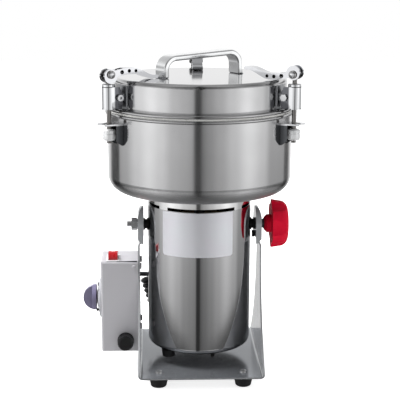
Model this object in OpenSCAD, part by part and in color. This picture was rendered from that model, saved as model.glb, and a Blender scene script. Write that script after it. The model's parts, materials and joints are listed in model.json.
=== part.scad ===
// Tilting grinder: a spun bowl and lid on a drum motor, hung between the arms of a bent-sheet stand.
// Millimetres, +Z up. The bowl's axis is Z, the floor is Z = 0 and the front faces -Y.

/* [Stand] */
// Gap between the drum and each ear of the stand
ear_gap = 5; // [4:0.5:8]
// Depth of the base plate, front to back
stand_depth = 168; // [140:1:200]
// Thickness of the bent sheet
sheet = 2; // [1.5:0.1:3]
// Outside radius of the two bottom bends
bend_r = 5; // [4:0.5:8]
// Drop from the tilt axis to the drum's underside
drum_drop = 139; // [130:1:145]
// Width of each ear round the tilt axis
ear_width = 42; // [36:1:48]
// Drop from the tilt axis to the neck where the arm steps inward
neck_drop = 21; // [18:1:26]
// Inward step of the ear from the arm
joggle = 4.5; // [3:0.5:6]
// Height over which the ear steps inward
joggle_rise = 7; // [5:1:10]
// Depth of the flange round the ear
ear_rim = 4.5; // [3:0.5:6]
// Height of the rounded corner of that flange
rim_round = 12; // [6:1:16]
// Height over which that flange runs out at its lower end
rim_taper = 5; // [3:0.5:7]

/* [Feet] */
// Height of a rubber foot
foot_height = 13; // [10:1:20]
// Diameter of a foot at the base plate
foot_top_d = 23; // [18:1:30]
// Diameter of a foot at the floor
foot_bottom_d = 18; // [14:1:26]
// Distance of the feet in from the sides of the stand
foot_inset_x = 23; // [18:0.5:30]
// Distance of the feet in from the front and rear of the stand
foot_inset_y = 17; // [15:1:30]
// Shank diameter of a foot screw
foot_screw_d = 4; // [3:0.5:5]
// Radius of a foot's bottom edge
foot_round = 2; // [1:0.5:3]

/* [Motor drum] */
// Outside diameter of the drum
drum_d = 118; // [108:1:130]
// Height of the drum
drum_height = 174.5; // [168:0.5:178]
// Gap from the base plate up to the drum
drum_gap = 17; // [15:0.5:22]
// Wall of the drum
drum_wall = 1.5; // [1:0.1:2]
// Outside radius of the drum's bottom edge
drum_corner = 6; // [4:0.5:10]
// Height of a vent slot
slot_height = 3.7; // [2.5:0.1:5]
// Height of the bright ring above the vent slots
top_ring = 6.1; // [5:0.1:8]
// Number of vent slots
slot_count = 4; // [3:1:6]
// Angle of the tab between two slots
slot_tab = 12; // [8:1:20]
// Number of holes in the drum's floor
floor_holes = 12; // [8:1:16]
// Diameter of a hole in the drum's floor
floor_hole_d = 6; // [4:0.5:8]

/* [Motor] */
// Diameter of the rotor shaft
shaft_d = 12; // [10:1:14]
// Diameter of the lower end of the shaft
shaft_end_d = 10; // [8:1:10]
// Room for a field coil between the armature and the ring of the stator
coil_depth = 15.7; // [13:0.1:18]
// Height of the laminated cores
core_height = 62; // [50:1:66]
// Air gap between armature and stator
air_gap = 0.8; // [0.5:0.1:1.2]
// Diameter of the commutator
commutator_d = 32; // [28:1:36]
// Height of the commutator
commutator_height = 18; // [16:1:20]
// Gap between the cooling fan and the drum
fan_gap = 11.5; // [8:0.5:16]
// Height of the cooling fan
fan_height = 13; // [10:1:14]
// Number of fan vanes
fan_vanes = 12; // [8:1:16]
// Outside diameter of a bearing
bearing_d = 30; // [28:1:34]
// Height of a bearing
bearing_height = 9; // [8:1:10]
// Side of a carbon brush
brush_side = 8; // [6:0.5:10]

/* [Bowl] */
// Gap between drum and bowl, filled by the black seat ring
seat_height = 6.5; // [5:0.5:9]
// Diameter of the seat ring
seat_d = 96; // [80:1:104]
// Outside diameter of the bowl
bowl_d = 207; // [200:1:214]
// Height of the bowl up to its flange
bowl_height = 88; // [80:1:96]
// Wall of the bowl
bowl_wall = 1.5; // [1:0.1:2]
// Outside radius of the bowl's bottom edge
bowl_corner = 18; // [12:1:24]
// Width that the rim flanges stand out from the bowl
flange_width = 3.5; // [2.5:0.5:5]
// Thickness of the bowl's flange
bowl_flange = 4; // [3:0.5:6]
// Thickness of the gasket
gasket_height = 1.5; // [1:0.1:3]

/* [Blades] */
// Length of the lower blade
lower_blade_length = 180; // [150:1:188]
// Length of the upper blade
upper_blade_length = 150; // [120:1:180]
// Width of a blade
blade_width = 26; // [20:1:32]
// Thickness of a blade
blade_thickness = 3; // [2:0.5:4]
// Distance between the two blades
blade_spacing = 16; // [10:1:20]
// Rise of the bent blade tips
tip_rise = 14; // [8:1:16]

/* [Lid] */
// Outside diameter of the lid above its flange
lid_d = 196; // [188:1:200]
// Thickness of the lid's flange
lid_flange = 4.2; // [3.5:0.1:6]
// Height of the lid above its flange
lid_height = 30.8; // [28:0.1:34]
// Wall of the lid
lid_wall = 1.5; // [1:0.1:2]
// Outside radius of the lid's top edge
lid_corner = 5; // [3:0.5:7]

/* [Handle] */
// Gap between the handle and the tips of the levers
handle_gap = 4.5; // [2:0.5:9]
// Height of the handle above the lid, at its middle
handle_height = 26; // [22:1:32]
// Width of the bar
handle_width = 20; // [16:1:24]
// Thickness of the bar
handle_thickness = 6; // [5:0.5:8]
// Outside radius of the handle's two bends
handle_bend = 16; // [12:1:20]
// Turn of the handle about the bowl's axis
handle_turn = 32; // [26:1:36]
// Slope of the handle's grip, up toward its rear leg
handle_lean = 2.6; // [0:0.1:4]

/* [Clamps] */
// Diameter of a clamp barrel
barrel_d = 14.2; // [13:0.1:16]
// Length of a clamp barrel
barrel_length = 24; // [22:1:26]
// Rise of the barrel's foot above the lid's flange
barrel_rise = 0.5; // [0.4:0.1:2]
// Gap between the barrel and the rim
barrel_gap = 0.9; // [0.6:0.1:2]
// Height of the wear washer on the barrel
washer_height = 3.5; // [2.5:0.5:5]
// Diameter of the clamp rod
rod_d = 5.1; // [4.5:0.1:5.5]
// Diameter of the cross pin
cross_pin_d = 5; // [4:0.1:5.5]
// Diameter of the cross pin's heads
pin_head_d = 8.8; // [7:0.1:10]
// Radius of the cam cheeks
cam_r = 7.75; // [7:0.05:8.5]
// Distance of the cam's centre from the cross pin
cam_offset = 1.85; // [1:0.05:2]
// Reach of a lever from its pin to its tip
lever_length = 58; // [50:1:60]
// Width of a lever
lever_width = 12; // [11:0.5:14]
// Depth of the lever's arm by its pin
lever_depth = 7; // [6:0.5:7]
// Thickness of the lever's tip
lever_tip = 3.7; // [3:0.1:4.5]
// Dip of the lever's arm
lever_dip = 3; // [2:0.1:3]
// Height of the lever's curled tip
lever_curl = 4.6; // [3:0.1:4.8]
// Gap of the lever's fork round the rod's eye
fork_gap = 6.8; // [6.6:0.1:8]
// Diameter of the knurled nut
nut_d = 13.6; // [12:0.1:14]
// Height of the nut's knurled part
nut_height = 10; // [9:0.5:13]
// Height of the nut's domed collar
nut_dome = 2.6; // [2:0.1:3.5]
// Number of flutes round the nut
nut_flutes = 20; // [12:1:24]
// Clear drop from a keeper plate to the nut
nut_drop = 3.8; // [3.5:0.1:4.5]
// Drop from the bowl's flange to the top of a keeper plate
keeper_drop = 5; // [4:0.5:6]
// Thickness of a keeper plate
keeper_sheet = 2; // [1.5:0.1:2.5]
// Width of a keeper's slot
keeper_slot = 6.4; // [6:0.1:7]
// Depth of a keeper's gussets
gusset_depth = 22; // [15:1:25]
// Reach of a keeper's gussets from the bowl
gusset_reach = 7.6; // [6:0.2:9]
// Reach of a keeper's prongs past the rod
keeper_reach = 10; // [8:0.5:12]

/* [Tilt axle] */
// Diameter of the pivot bolts
bolt_d = 6.5; // [6:0.5:8]
// Diameter of a black spacer
spacer_d = 14; // [12:0.5:16]
// Diameter of the pivot washers
washer_d = 20; // [18:1:24]
// Thickness of the black friction washer
friction_washer = 3; // [2.5:0.1:4.5]
// Thickness of the steel washer
steel_washer = 1.5; // [1:0.1:2.5]
// Length of the waisted collar between the washers and the red knob
collar_length = 4; // [2:0.1:6]
// Diameter of that collar
collar_d = 12; // [11:0.5:14]
// Diameter of the red knob
knob_d = 56; // [48:1:64]
// Length of the red knob's head
knob_head = 21; // [16:1:24]
// Length of the red knob's neck
knob_neck = 8; // [5:1:12]
// Radius of the rounded outer edge of the red knob
knob_round = 10; // [6:0.5:12]
// Number of lobes on the red knob
knob_lobes = 6; // [5:1:8]

/* [Control box] */
// Reach of the box from the arm
box_reach = 42.5; // [38:0.5:50]
// Depth of the box, front to back
box_depth = 50; // [46:1:54]
// Height of the box
box_height = 108; // [104:1:116]
// Drop from the tilt axis to the top of the box
box_drop = 38; // [34:1:42]
// Wall of the box
box_wall = 1.5; // [1:0.1:2]
// Radius of the box's edges
box_round = 3; // [2:0.5:5]
// Rise of the timer's axis from the underside of the box
timer_rise = 59; // [52:1:66]
// Diameter of the dial plate
dial_d = 47; // [42:1:49]
// Rise of the dial plate's dome
dial_dome = 4; // [3:0.5:5]
// Diameter of the timer knob
timer_knob_d = 29; // [24:1:32]
// Thickness of the timer knob's grip
timer_grip = 8; // [6:0.5:10]
// Width of the red rocker
rocker_width = 10.4; // [9:0.1:13]
// Swing radius of the rocker
rocker_r = 11; // [9:0.5:12]
// Rest tilt of the rocker
rocker_tilt = 9; // [7:1:10]
// Rise of the fuse holder's axis from the underside of the box
fuse_rise = 14; // [12:0.5:18]
// Diameter of the fuse cap
fuse_cap_d = 18; // [15:0.5:20]
// Length of the fuse cap
fuse_cap_length = 11.5; // [9:0.5:14]
// Length of the fuse holder inside the box
fuse_length = 30; // [24:1:40]

/* [Curly cord] */
// Diameter of the cord
cord_d = 5.5; // [4.5:0.1:5.6]
// Outside diameter of the curls
curl_d = 15; // [14:0.5:15.5]
// Number of curls
curls = 6; // [4:1:6]
// Length of the gland on the drum
drum_gland_length = 8; // [6:0.5:10]
// Radius of the cord's bend at that gland
tail_bend = 7; // [6:0.5:10]

/* [Hidden] */
$fn = 96;

// Clearances
slip = 0.1;
seat = 0.2;
free = 0.4;
cut = 1;

// Stand
drum_r = drum_d / 2;
half_width = drum_r + ear_gap + sheet + joggle;
stand_width = 2 * half_width;
base_z = foot_height;
base_top = base_z + sheet;
drum_z = base_top + drum_gap;
pivot_height = drum_z + drum_drop;
foot_x = half_width - foot_inset_x;
foot_y = stand_depth / 2 - foot_inset_y;
neck_z = pivot_height - neck_drop;
ear_r = ear_width / 2;
ear_in = half_width - sheet - joggle;
ear_out = half_width - joggle;
rim_out = ear_out + ear_rim;
arm_flare = stand_depth / 2 - ear_r;
arm_rise = neck_z - base_z - bend_r;
arm_curve = (arm_flare * arm_flare + arm_rise * arm_rise) / (2 * arm_flare);

// Drum and motor heights
drum_in = drum_r - drum_wall;
drum_floor = drum_z + drum_wall;
drum_top = drum_z + drum_height;
slot_z = drum_top - top_ring - slot_height;
plate_height = top_ring - slip;
plate_z = drum_top - plate_height;
pocket_wall = 4;
lower_bearing_z = drum_floor + seat;
pocket_top = lower_bearing_z + bearing_height + 1;
fan_z = pocket_top + 6;
core_gap = 14;
core_z = fan_z + fan_height + core_gap;
core_top = core_z + core_height;
coil_end = 8;
commutator_z = core_top + 10;
brush_z = commutator_z + commutator_height / 2;
upper_bearing_z = plate_z - bearing_height;
holder_wall = 2;
core_wall = 11;
armature_d = 2 * (drum_in - core_wall - coil_depth - air_gap);
fan_d = 2 * (drum_in - fan_gap);
pole_share = 0.73;
pole_width = pole_share * armature_d;
bumper_height = 8;
boss_r = 11;
boss_depth = 8;

// Bowl, rim and lid heights
bowl_r = bowl_d / 2;
bowl_z = drum_top + seat_height;
bowl_floor = bowl_z + bowl_wall;
flange_r = bowl_r + flange_width;
bowl_flange_z = bowl_z + bowl_height;
gasket_z = bowl_flange_z + bowl_flange;
lid_flange_z = gasket_z + gasket_height;
lid_z = lid_flange_z + lid_flange;
lid_top = lid_z + lid_height;
lid_r = lid_d / 2;
seal_r = 14;
seal_height = 8;
bowl_screw_r = 34;
bowl_screw_d = 5;
lower_blade_z = bowl_floor + 11;
upper_blade_z = lower_blade_z + blade_thickness + blade_spacing;
blade_nut_z = upper_blade_z + blade_thickness;
blade_nut_height = 10;
blade_nut_across = 19;
blade_bend = 24;

// Clamps, placed by the rim
clamp_angles = [210, 330, 90];
clamp_r = flange_r + barrel_gap + barrel_d / 2;
barrel_z = lid_z + barrel_rise;
barrel_top = barrel_z + barrel_length;
wear_top = barrel_top + washer_height;
pin_z = wear_top + cam_r + cam_offset + 0.3;
swing_r = clamp_r - 9;
swing_z = barrel_z + barrel_length / 2 + 0.5;
swing_screw_d = 4;
lug_end_r = 3.8;
ear_plate = 2;
lug_half = barrel_d / 2 - ear_plate - 0.4;
lug_plate = 1.2;
lug_plate_half = 9;
eye_r = 4.5;
eye_width = fork_gap - free;
fork_depth = 16;
pin_head = 1.2;
keeper_z = bowl_flange_z - keeper_drop - keeper_sheet;
keeper_half = nut_d / 2 + free + keeper_sheet + 0.2;
keeper_mouth = 6;
nut_top = keeper_z - nut_drop;
nut_z = nut_top - nut_dome - nut_height;
rod_end = 3;

// Tilt axle
bolt_r = bolt_d / 2;
bolt_head_r = 7;
bolt_head = 5.5;
washer_out = ear_out + friction_washer + steel_washer;
neck_r = 10.5;
knob_start = washer_out + collar_length + seat;
knob_face = knob_start + knob_neck + knob_head;
nut_across = 13;
nut_length = 6.5;
nut_face = 1;
bolt_tail = 5;

// Control box
box_x = -half_width - box_reach;
box_top = pivot_height - box_drop;
box_bottom = box_top - box_height;
timer_z = box_bottom + timer_rise;
fuse_z = box_bottom + fuse_rise;
back_plate_x = -half_width - box_wall;
switch_x = box_x + 14;
rocker_z = box_top + 1.5;
frame_wall = 1.5;
frame_height = 0.8;
fuse_in = 14.7;
fuse_x = -half_width - fuse_in;
fuse_face = -box_depth / 2;
fuse_body_r = 7;
fuse_flange = 1.5;
timer_shaft_r = 3;
timer_side = 36;
timer_depth = 24;
dial_rim = 1.5;
knob_base = 5;
timer_knob_x = box_x - dial_rim - dial_dome - 0.5;
gland_r = 6;
gland_length = 10;
gland_in = 21.5;
cord_gland_rise = 79;
mains_gland_rise = 22;
mains_gland_z = box_bottom + mains_gland_rise;
box_screw_d = 4;
box_screw_y = 15;
box_screw_inset = [28, 8];

// Ends of the cord: the gland on the box and the gland on the drum
cord_start = [-half_width - gland_in, box_depth / 2 + gland_length, box_bottom + cord_gland_rise];
gland_angle = 130;
gland_z = drum_z + 12;
gland_out = [cos(gland_angle), sin(gland_angle), 0];
cord_end = (drum_r + drum_gland_length) * gland_out + [0, 0, gland_z];
cord_radius = cord_d / 2;
curl_radius = curl_d / 2 - cord_radius;
rings_per_curl = 8;
cord_sides = 6;

steel = "silver";
dark = [0.12, 0.12, 0.13];

// Shared shapes

function smooth_step(t) = let (s = min(max(t, 0), 1)) s * s * (3 - 2 * s);
function unit(v) = v / norm(v);

module ring(outer_r, inner_r, height) {
    difference() {
        cylinder(r = outer_r, h = height);
        translate([0, 0, -cut]) cylinder(r = inner_r, h = height + 2 * cut);
    }
}

// Half section of a cup from the axis outward, with a round bottom edge
module half_cup_2d(radius, height, corner) {
    square([radius - corner, height]);
    translate([0, corner]) square([radius, height - corner]);
    translate([radius - corner, corner]) intersection() {
        circle(corner);
        translate([0, -corner]) square(corner);
    }
}

module cup(radius, height, wall, corner) {
    rotate_extrude() difference() {
        half_cup_2d(radius, height, corner);
        translate([-cut, wall]) square([cut + radius - corner, height]);
        translate([0, wall]) half_cup_2d(radius - wall, height, corner - wall);
    }
}

module round_rect_2d(size, corner) {
    translate([corner, 0]) square([size.x - 2 * corner, size.y]);
    translate([0, corner]) square([size.x, size.y - 2 * corner]);
    for (x = [corner, size.x - corner], y = [corner, size.y - corner]) translate([x, y]) circle(corner);
}

// A shape drawn in the X-Z plane, extruded along Y about the middle
module along_y(width) {
    rotate([90, 0, 0]) translate([0, 0, -width / 2]) linear_extrude(width) children();
}

// A shape drawn as Y and Z, extruded along +X from x
module along_x(x, length) {
    translate([x, 0, 0]) rotate([90, 0, 90]) linear_extrude(length) children();
}

module x_cylinder(radius, x, length) {
    translate([x, 0, 0]) rotate([0, 90, 0]) cylinder(r = radius, h = length);
}

module hexagon(across, height) {
    cylinder(d = across / cos(30), h = height, $fn = 6);
}

// Stand

module arm_section_2d() {
    square([half_width - bend_r, sheet]);
    translate([half_width - bend_r, bend_r]) intersection() {
        difference() {
            circle(bend_r);
            circle(bend_r - sheet);
        }
        translate([0, -bend_r]) square(bend_r);
    }
    step_z = neck_z - base_z;
    top_z = pivot_height + ear_r - base_z;
    translate([half_width - sheet, bend_r]) square([sheet, step_z - bend_r]);
    polygon([[half_width - sheet, step_z], [half_width, step_z],
        [ear_out, step_z + joggle_rise], [ear_in, step_z + joggle_rise]]);
    translate([ear_in, step_z + joggle_rise]) square([sheet, top_z - step_z - joggle_rise]);
}

// Side view of an arm: it narrows in a long curve from the base plate up to the neck
module arm_outline_2d() {
    difference() {
        translate([-stand_depth / 2, base_z]) square([stand_depth, neck_z - base_z]);
        for (side = [-1, 1]) translate([side * (ear_r + arm_curve), neck_z]) circle(arm_curve, $fn = 256);
    }
    translate([-ear_r, neck_z]) square([ear_width, neck_drop]);
    translate([0, pivot_height]) circle(ear_r);
}

module ear_outline_2d(radius) {
    translate([-radius, neck_z]) square([2 * radius, neck_drop]);
    translate([0, pivot_height]) circle(radius);
}

// The flange is full depth down the ear's edges. It runs out in a rounded corner at the top and a slant below
module rim_profile_2d() {
    top_z = pivot_height + ear_r;
    arc_steps = 10;
    arc = [for (i = [0 : arc_steps]) let (a = 90 * i / arc_steps)
        [ear_in + sheet / 2 + (rim_out - ear_in - sheet / 2) * cos(a), top_z - rim_round * (1 - sin(a))]];
    foot_z = neck_z + joggle_rise;
    polygon(concat([[ear_in, foot_z - rim_taper], [ear_out, foot_z - rim_taper], [rim_out, foot_z]], arc,
        [[ear_in, top_z]]));
}

module ear_flange() {
    intersection() {
        along_x(ear_in, rim_out - ear_in) difference() {
            ear_outline_2d(ear_r);
            translate([0, -cut]) ear_outline_2d(ear_r - sheet);
        }
        along_y(ear_width + 2 * cut) rim_profile_2d();
    }
}

module stand_frame() {
    color(steel) difference() {
        for (side = [0, 1]) mirror([side, 0, 0]) {
            intersection() {
                translate([0, 0, base_z]) along_y(stand_depth) arm_section_2d();
                along_x(-cut, half_width + 2 * cut) arm_outline_2d();
            }
            ear_flange();
        }
        translate([0, 0, pivot_height]) x_cylinder(bolt_r + slip, -half_width, stand_width);
        at_feet() translate([0, 0, -cut]) cylinder(d = foot_screw_d + 2 * slip, h = sheet + 2 * cut);
        at_box_screws() x_cylinder(box_screw_d / 2 + slip, -cut, sheet + 2 * cut);
        translate([ear_in - cut, 0, pivot_height - peg_drop]) x_cylinder(peg_r + slip, 0, sheet + 2 * cut);
    }
}

module at_feet() {
    for (x = [-foot_x, foot_x], y = [-foot_y, foot_y]) translate([x, y, base_z]) children();
}

module rubber_feet() {
    bore = foot_screw_d / 2 + slip;
    color(dark) at_feet() mirror([0, 0, 1]) difference() {
        foot_body();
        translate([0, 0, -cut]) cylinder(r = bore, h = foot_screw_length + cut);
    }
}

// A foot upside down, with a rounded bottom edge
module foot_body() {
    low_r = foot_bottom_d / 2;
    rotate_extrude() {
        polygon([[0, 0], [foot_top_d / 2, 0], [low_r, foot_height - foot_round],
            [low_r - foot_round, foot_height], [0, foot_height]]);
        translate([low_r - foot_round, foot_height - foot_round]) intersection() {
            circle(foot_round);
            square(foot_round);
        }
    }
}

foot_screw_length = 8;
foot_head_d = 9;
foot_head = 2.4;

module foot_screws() {
    color(steel) at_feet() {
        translate([0, 0, sheet]) cylinder(d1 = foot_head_d, d2 = foot_head_d - foot_head, h = foot_head);
        translate([0, 0, slip - foot_screw_length])
            cylinder(d = foot_screw_d, h = foot_screw_length + sheet + foot_head / 2);
    }
}

peg_r = 3;
peg_drop = 12;
peg_reach = 3;

module stop_peg() {
    color(dark) translate([0, 0, pivot_height - peg_drop]) {
        x_cylinder(peg_r, ear_in - peg_reach, peg_reach + sheet);
        x_cylinder(peg_r + 1, ear_in - peg_reach, peg_reach);
    }
}

// Control box

module box_blank(inset, corner) {
    size = [box_reach + corner, box_depth, box_height] - 2 * inset * [0.5, 1, 1];
    start = [box_x + inset, -box_depth / 2 + inset, box_bottom + inset];
    translate(start) intersection() {
        linear_extrude(size.z) round_rect_2d([size.x, size.y], corner);
        translate([0, size.y, 0]) rotate([90, 0, 0]) linear_extrude(size.y)
            round_rect_2d([size.x, size.z], corner);
        rotate([90, 0, 90]) linear_extrude(size.x) round_rect_2d([size.y, size.z], corner);
        cube([box_reach - inset, size.y, size.z]);
    }
}

module control_box() {
    color([0.75, 0.75, 0.77]) difference() {
        box_blank(0, box_round);
        translate([box_x + box_wall, -box_depth / 2 + box_wall, box_bottom + box_wall])
            cube([box_reach, box_depth - 2 * box_wall, box_height - 2 * box_wall]);
        translate([box_x - cut, 0, timer_z]) x_cylinder(timer_collar_r + slip, 0, box_wall + 2 * cut);
        translate([switch_x, switch_y, box_top - box_wall / 2])
            cube([switch_width + 2 * seat, switch_length + 2 * seat, box_wall + 2 * cut], center = true);
        translate([fuse_x, -box_depth / 2 - cut, fuse_z]) rotate([-90, 0, 0])
            cylinder(r = fuse_body_r + slip, h = box_wall + 2 * cut);
        at_box_glands() cylinder(r = gland_r / 2 + slip, h = 2 * box_wall + cut, center = true);
        at_cover_screws() cylinder(r = cover_screw_r + slip, h = 4 * box_wall, center = true);
        at_dial_screws() cylinder(r = dial_screw_r + slip, h = 4 * box_wall, center = true);
    }
}

module at_box_glands() {
    for (z = [cord_start.z, mains_gland_z])
        translate([cord_start.x, box_depth / 2, z]) rotate([-90, 0, 0]) children();
}

module box_back_plate() {
    size = [box_wall, box_depth - 2 * box_wall - 2 * seat, box_height - 2 * box_wall - 2 * seat];
    color([0.75, 0.75, 0.77]) difference() {
        translate([back_plate_x, -size.y / 2, box_bottom + box_wall + seat]) cube(size);
        at_box_screws() x_cylinder(box_screw_d / 2 + slip, -box_wall - cut, box_wall + 2 * cut);
    }
}

// Children sit on the arm's outer face, with +X into the stand
module at_box_screws() {
    for (y = [-box_screw_y, box_screw_y], z = [box_bottom + box_screw_inset[0], box_top - box_screw_inset[1]])
        translate([-half_width, y, z]) children();
}

module box_screws() {
    head_r = box_screw_d * 0.9;
    tail = box_wall + 4;
    color(steel) {
        at_box_screws() {
            translate([-tail, 0, 0]) x_cylinder(box_screw_d / 2, 0, tail + sheet + 1);
            x_cylinder(head_r, sheet, 2.2);
            translate([-box_wall - 3, 0, 0]) rotate([0, 90, 0]) ring(head_r, box_screw_d / 2 - slip, 3);
        }
        at_cover_screws() {
            translate([0, 0, -4]) cylinder(r = cover_screw_r, h = 5);
            cylinder(r1 = 2 * cover_screw_r, r2 = 1.4 * cover_screw_r, h = 1.1);
        }
    }
}

cover_screw_r = 1.3;
cover_screw_in = 4.5;
cover_screw_drop = 6.5;

// Small screws near the top of the box's front and rear faces, with +Z out of the face
module at_cover_screws() {
    for (side = [0, 180]) translate([-half_width - cover_screw_in, 0, box_top - cover_screw_drop]) rotate(side)
        translate([0, -box_depth / 2, 0]) rotate([90, 0, 0]) children();
}

dial_screw_r = 1.5;
dial_screw_circle = 18;

// Screws of the timer, through the dial plate, with +Z out of the box's side
module at_dial_screws() {
    for (turn = [38, 218]) translate([box_x, 0, timer_z]) rotate([turn, 0, 0])
        translate([0, -dial_screw_circle, 0]) rotate([0, -90, 0]) children();
}

timer_collar_r = 6;

module timer_body() {
    collar = box_wall + dial_rim + dial_dome;
    color(dark) translate([0, 0, timer_z]) {
        translate([box_x + box_wall, -timer_side / 2, -timer_side / 2])
            cube([timer_depth, timer_side, timer_side]);
        x_cylinder(timer_collar_r, box_x - collar + box_wall, collar + cut);
        x_cylinder(timer_shaft_r, timer_knob_x - knob_base - 3, box_x - timer_knob_x + knob_base + 3 + cut);
    }
    color(dark) at_dial_screws() {
        translate([0, 0, -box_wall - cut]) cylinder(r = dial_screw_r, h = box_wall + dial_rim + dial_dome);
        translate([0, 0, dial_rim + dial_dome - 1])
            cylinder(r1 = 1.7 * dial_screw_r, r2 = 1.3 * dial_screw_r, h = 1.2);
    }
}

module dial_plate() {
    dial_r = dial_d / 2;
    dome_r = (dial_r * dial_r + dial_dome * dial_dome) / (2 * dial_dome);
    color(steel) difference() {
        translate([box_x, 0, timer_z]) rotate([0, -90, 0]) {
            cylinder(r = dial_r, h = dial_rim);
            intersection() {
                translate([0, 0, dial_rim + dial_dome - dome_r]) sphere(dome_r, $fn = 128);
                cylinder(r = dial_r, h = dial_rim + dial_dome);
            }
        }
        translate([box_x - 2 * dial_d, 0, timer_z]) x_cylinder(timer_collar_r + slip, 0, 3 * dial_d);
        at_dial_screws() cylinder(r = dial_screw_r + slip, h = dial_d, center = true);
    }
}

module timer_knob() {
    grip_r = timer_knob_d / 2;
    color([0.41, 0.39, 0.49]) translate([timer_knob_x, 0, timer_z]) difference() {
        union() {
            x_cylinder(grip_r, -knob_base, knob_base);
            intersection() {
                translate([-1, 0, 0]) rotate([90, 0, 0]) cylinder(r = grip_r, h = timer_grip, center = true);
                translate([-2 * grip_r, -grip_r, -grip_r]) cube([2 * grip_r, 2 * grip_r, 2 * grip_r]);
            }
        }
        x_cylinder(timer_shaft_r + slip, -knob_base - 4, knob_base + 4 + cut);
    }
}

switch_width = rocker_width + 2 * seat + 2 * frame_wall;
switch_length = 2 * (rocker_r + free + frame_wall);
switch_depth = 13;
switch_y = -box_depth / 2 + box_wall + switch_length / 2 + free;

module switch_body() {
    lip = 0.6;
    color(dark) translate([switch_x, switch_y, 0]) difference() {
        union() {
            translate([-switch_width / 2, -switch_length / 2, box_top - switch_depth])
                cube([switch_width, switch_length, switch_depth]);
            translate([-switch_width / 2 - lip, -switch_length / 2 - lip, box_top])
                cube([switch_width + 2 * lip, switch_length + 2 * lip, frame_height]);
        }
        translate([0, 0, rocker_z])
            x_cylinder(rocker_r + free, -rocker_width / 2 - seat, rocker_width + 2 * seat);
    }
}

module rocker_2d() {
    crest = 7;
    valley = 4.5;
    intersection() {
        circle(rocker_r);
        polygon([[-rocker_r, -3], [rocker_r, -3], [rocker_r, crest], [0, valley], [-rocker_r, crest]]);
    }
}

// The front end of the rocker stands up at rest
module switch_rocker() {
    color([0.8, 0.05, 0.08]) translate([switch_x - rocker_width / 2, switch_y, rocker_z])
        rotate([-rocker_tilt, 0, 0]) along_x(0, rocker_width) rocker_2d();
}

fuse_plug_r = 4.5;
fuse_plug = 10;

module fuse_holder() {
    color(dark) translate([fuse_x, fuse_face, fuse_z]) rotate([-90, 0, 0]) difference() {
        union() {
            cylinder(r = fuse_body_r, h = fuse_length);
            translate([0, 0, -fuse_flange]) cylinder(r = fuse_cap_d / 2 + 0.5, h = fuse_flange);
        }
        translate([0, 0, -fuse_flange - cut])
            cylinder(r = fuse_plug_r + slip, h = fuse_flange + fuse_plug + 2 * cut);
    }
}

module fuse_cap() {
    grooves = 24;
    cap_r = fuse_cap_d / 2;
    color(dark) translate([fuse_x, fuse_face - fuse_flange - seat, fuse_z]) rotate([90, 0, 0]) {
        difference() {
            union() {
                cylinder(r = cap_r, h = fuse_cap_length - 2);
                translate([0, 0, fuse_cap_length - 2]) cylinder(r1 = cap_r, r2 = cap_r - 2, h = 2);
            }
            for (i = [1 : grooves]) rotate(i * 360 / grooves) translate([cap_r + 0.3, 0, -cut])
                cylinder(r = 0.8, h = fuse_cap_length);
        }
        translate([0, 0, -fuse_plug]) cylinder(r = fuse_plug_r, h = fuse_plug + cut);
    }
}

module cord_glands() {
    inlet_r = 3.5;
    color(dark) {
        translate([cord_start.x, box_depth / 2, cord_start.z]) rotate([-90, 0, 0]) gland_body();
        translate([cord_start.x, box_depth / 2, mains_gland_z]) rotate([-90, 0, 0]) difference() {
            gland_body();
            translate([0, 0, -3 * box_wall]) cylinder(r = inlet_r / 2, h = gland_length + 4 * box_wall);
        }
    }
}

module gland_body() {
    cylinder(r1 = gland_r, r2 = gland_r - 1.5, h = gland_length);
    translate([0, 0, -2 * box_wall]) cylinder(r = gland_r / 2, h = 2 * box_wall + cut);
}

// Curly cord, one tube swept along a helix round the route

straight = cord_d + 0.5;
curl_in = 8;
curl_back = 25;
curl_drop = 10;
curl_top = [-half_width + curl_in, box_depth / 2 + curl_back, cord_start.z - curl_drop];
curl_bottom = cord_end + (straight + tail_bend) * gland_out + [0, 0, tail_bend + 2];
curl_axis = unit(curl_bottom - curl_top);
curl_side = unit(cross(curl_axis, [0, 1, 0]));
curl_up = cross(curl_axis, curl_side);
curl_steps = curls * rings_per_curl;
curl_ramp = 0.75 * rings_per_curl;

function curl_point(i) =
    let (t = i / curl_steps,
        ramp = smooth_step(i / curl_ramp) * smooth_step((curl_steps - i) / curl_ramp),
        a = 360 * i / rings_per_curl + 90)
    curl_top + t * (curl_bottom - curl_top)
        + curl_radius * ramp * (cos(a) * curl_side + sin(a) * curl_up);

// Point of a cubic curve with four control points
function curve_point(p, t) = let (u = 1 - t)
    u * u * u * p[0] + 3 * u * u * t * p[1] + 3 * u * t * t * p[2] + t * t * t * p[3];

// The cord leaves the box straight back, rounds the rear edge of the arm and enters the curls along their axis
lead_steps = 8;
lead_start = cord_start + [0, straight, 0];
lead_curve = [lead_start, lead_start + [0, 14, 0], curl_top - 16 * curl_axis, curl_top];
cord_lead = concat([cord_start, cord_start + [0, straight / 2, 0]],
    [for (i = [0 : lead_steps - 1]) curve_point(lead_curve, i / lead_steps)]);
tail_steps = 4;
cord_tail = concat([for (i = [tail_steps - 1 : -1 : 0]) let (a = 90 * i / tail_steps)
    cord_end + (straight + tail_bend * sin(a)) * gland_out + [0, 0, tail_bend * (1 - cos(a))]],
    [cord_end + straight / 2 * gland_out, cord_end]);
cord_points = concat(cord_lead, [for (i = [0 : curl_steps]) curl_point(i)], cord_tail);
cord_count = len(cord_points);

function cord_tangent(i) =
    unit(cord_points[min(i + 1, cord_count - 1)] - cord_points[max(i - 1, 0)]);
function turned(normal, tangent) = unit(normal - (normal * tangent) * tangent);

cord_normals = [for (i = 0, n = turned([0, 0, 1], cord_tangent(0)); i < cord_count;
    i = i + 1, n = turned(n, cord_tangent(min(i, cord_count - 1)))) n];

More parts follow.
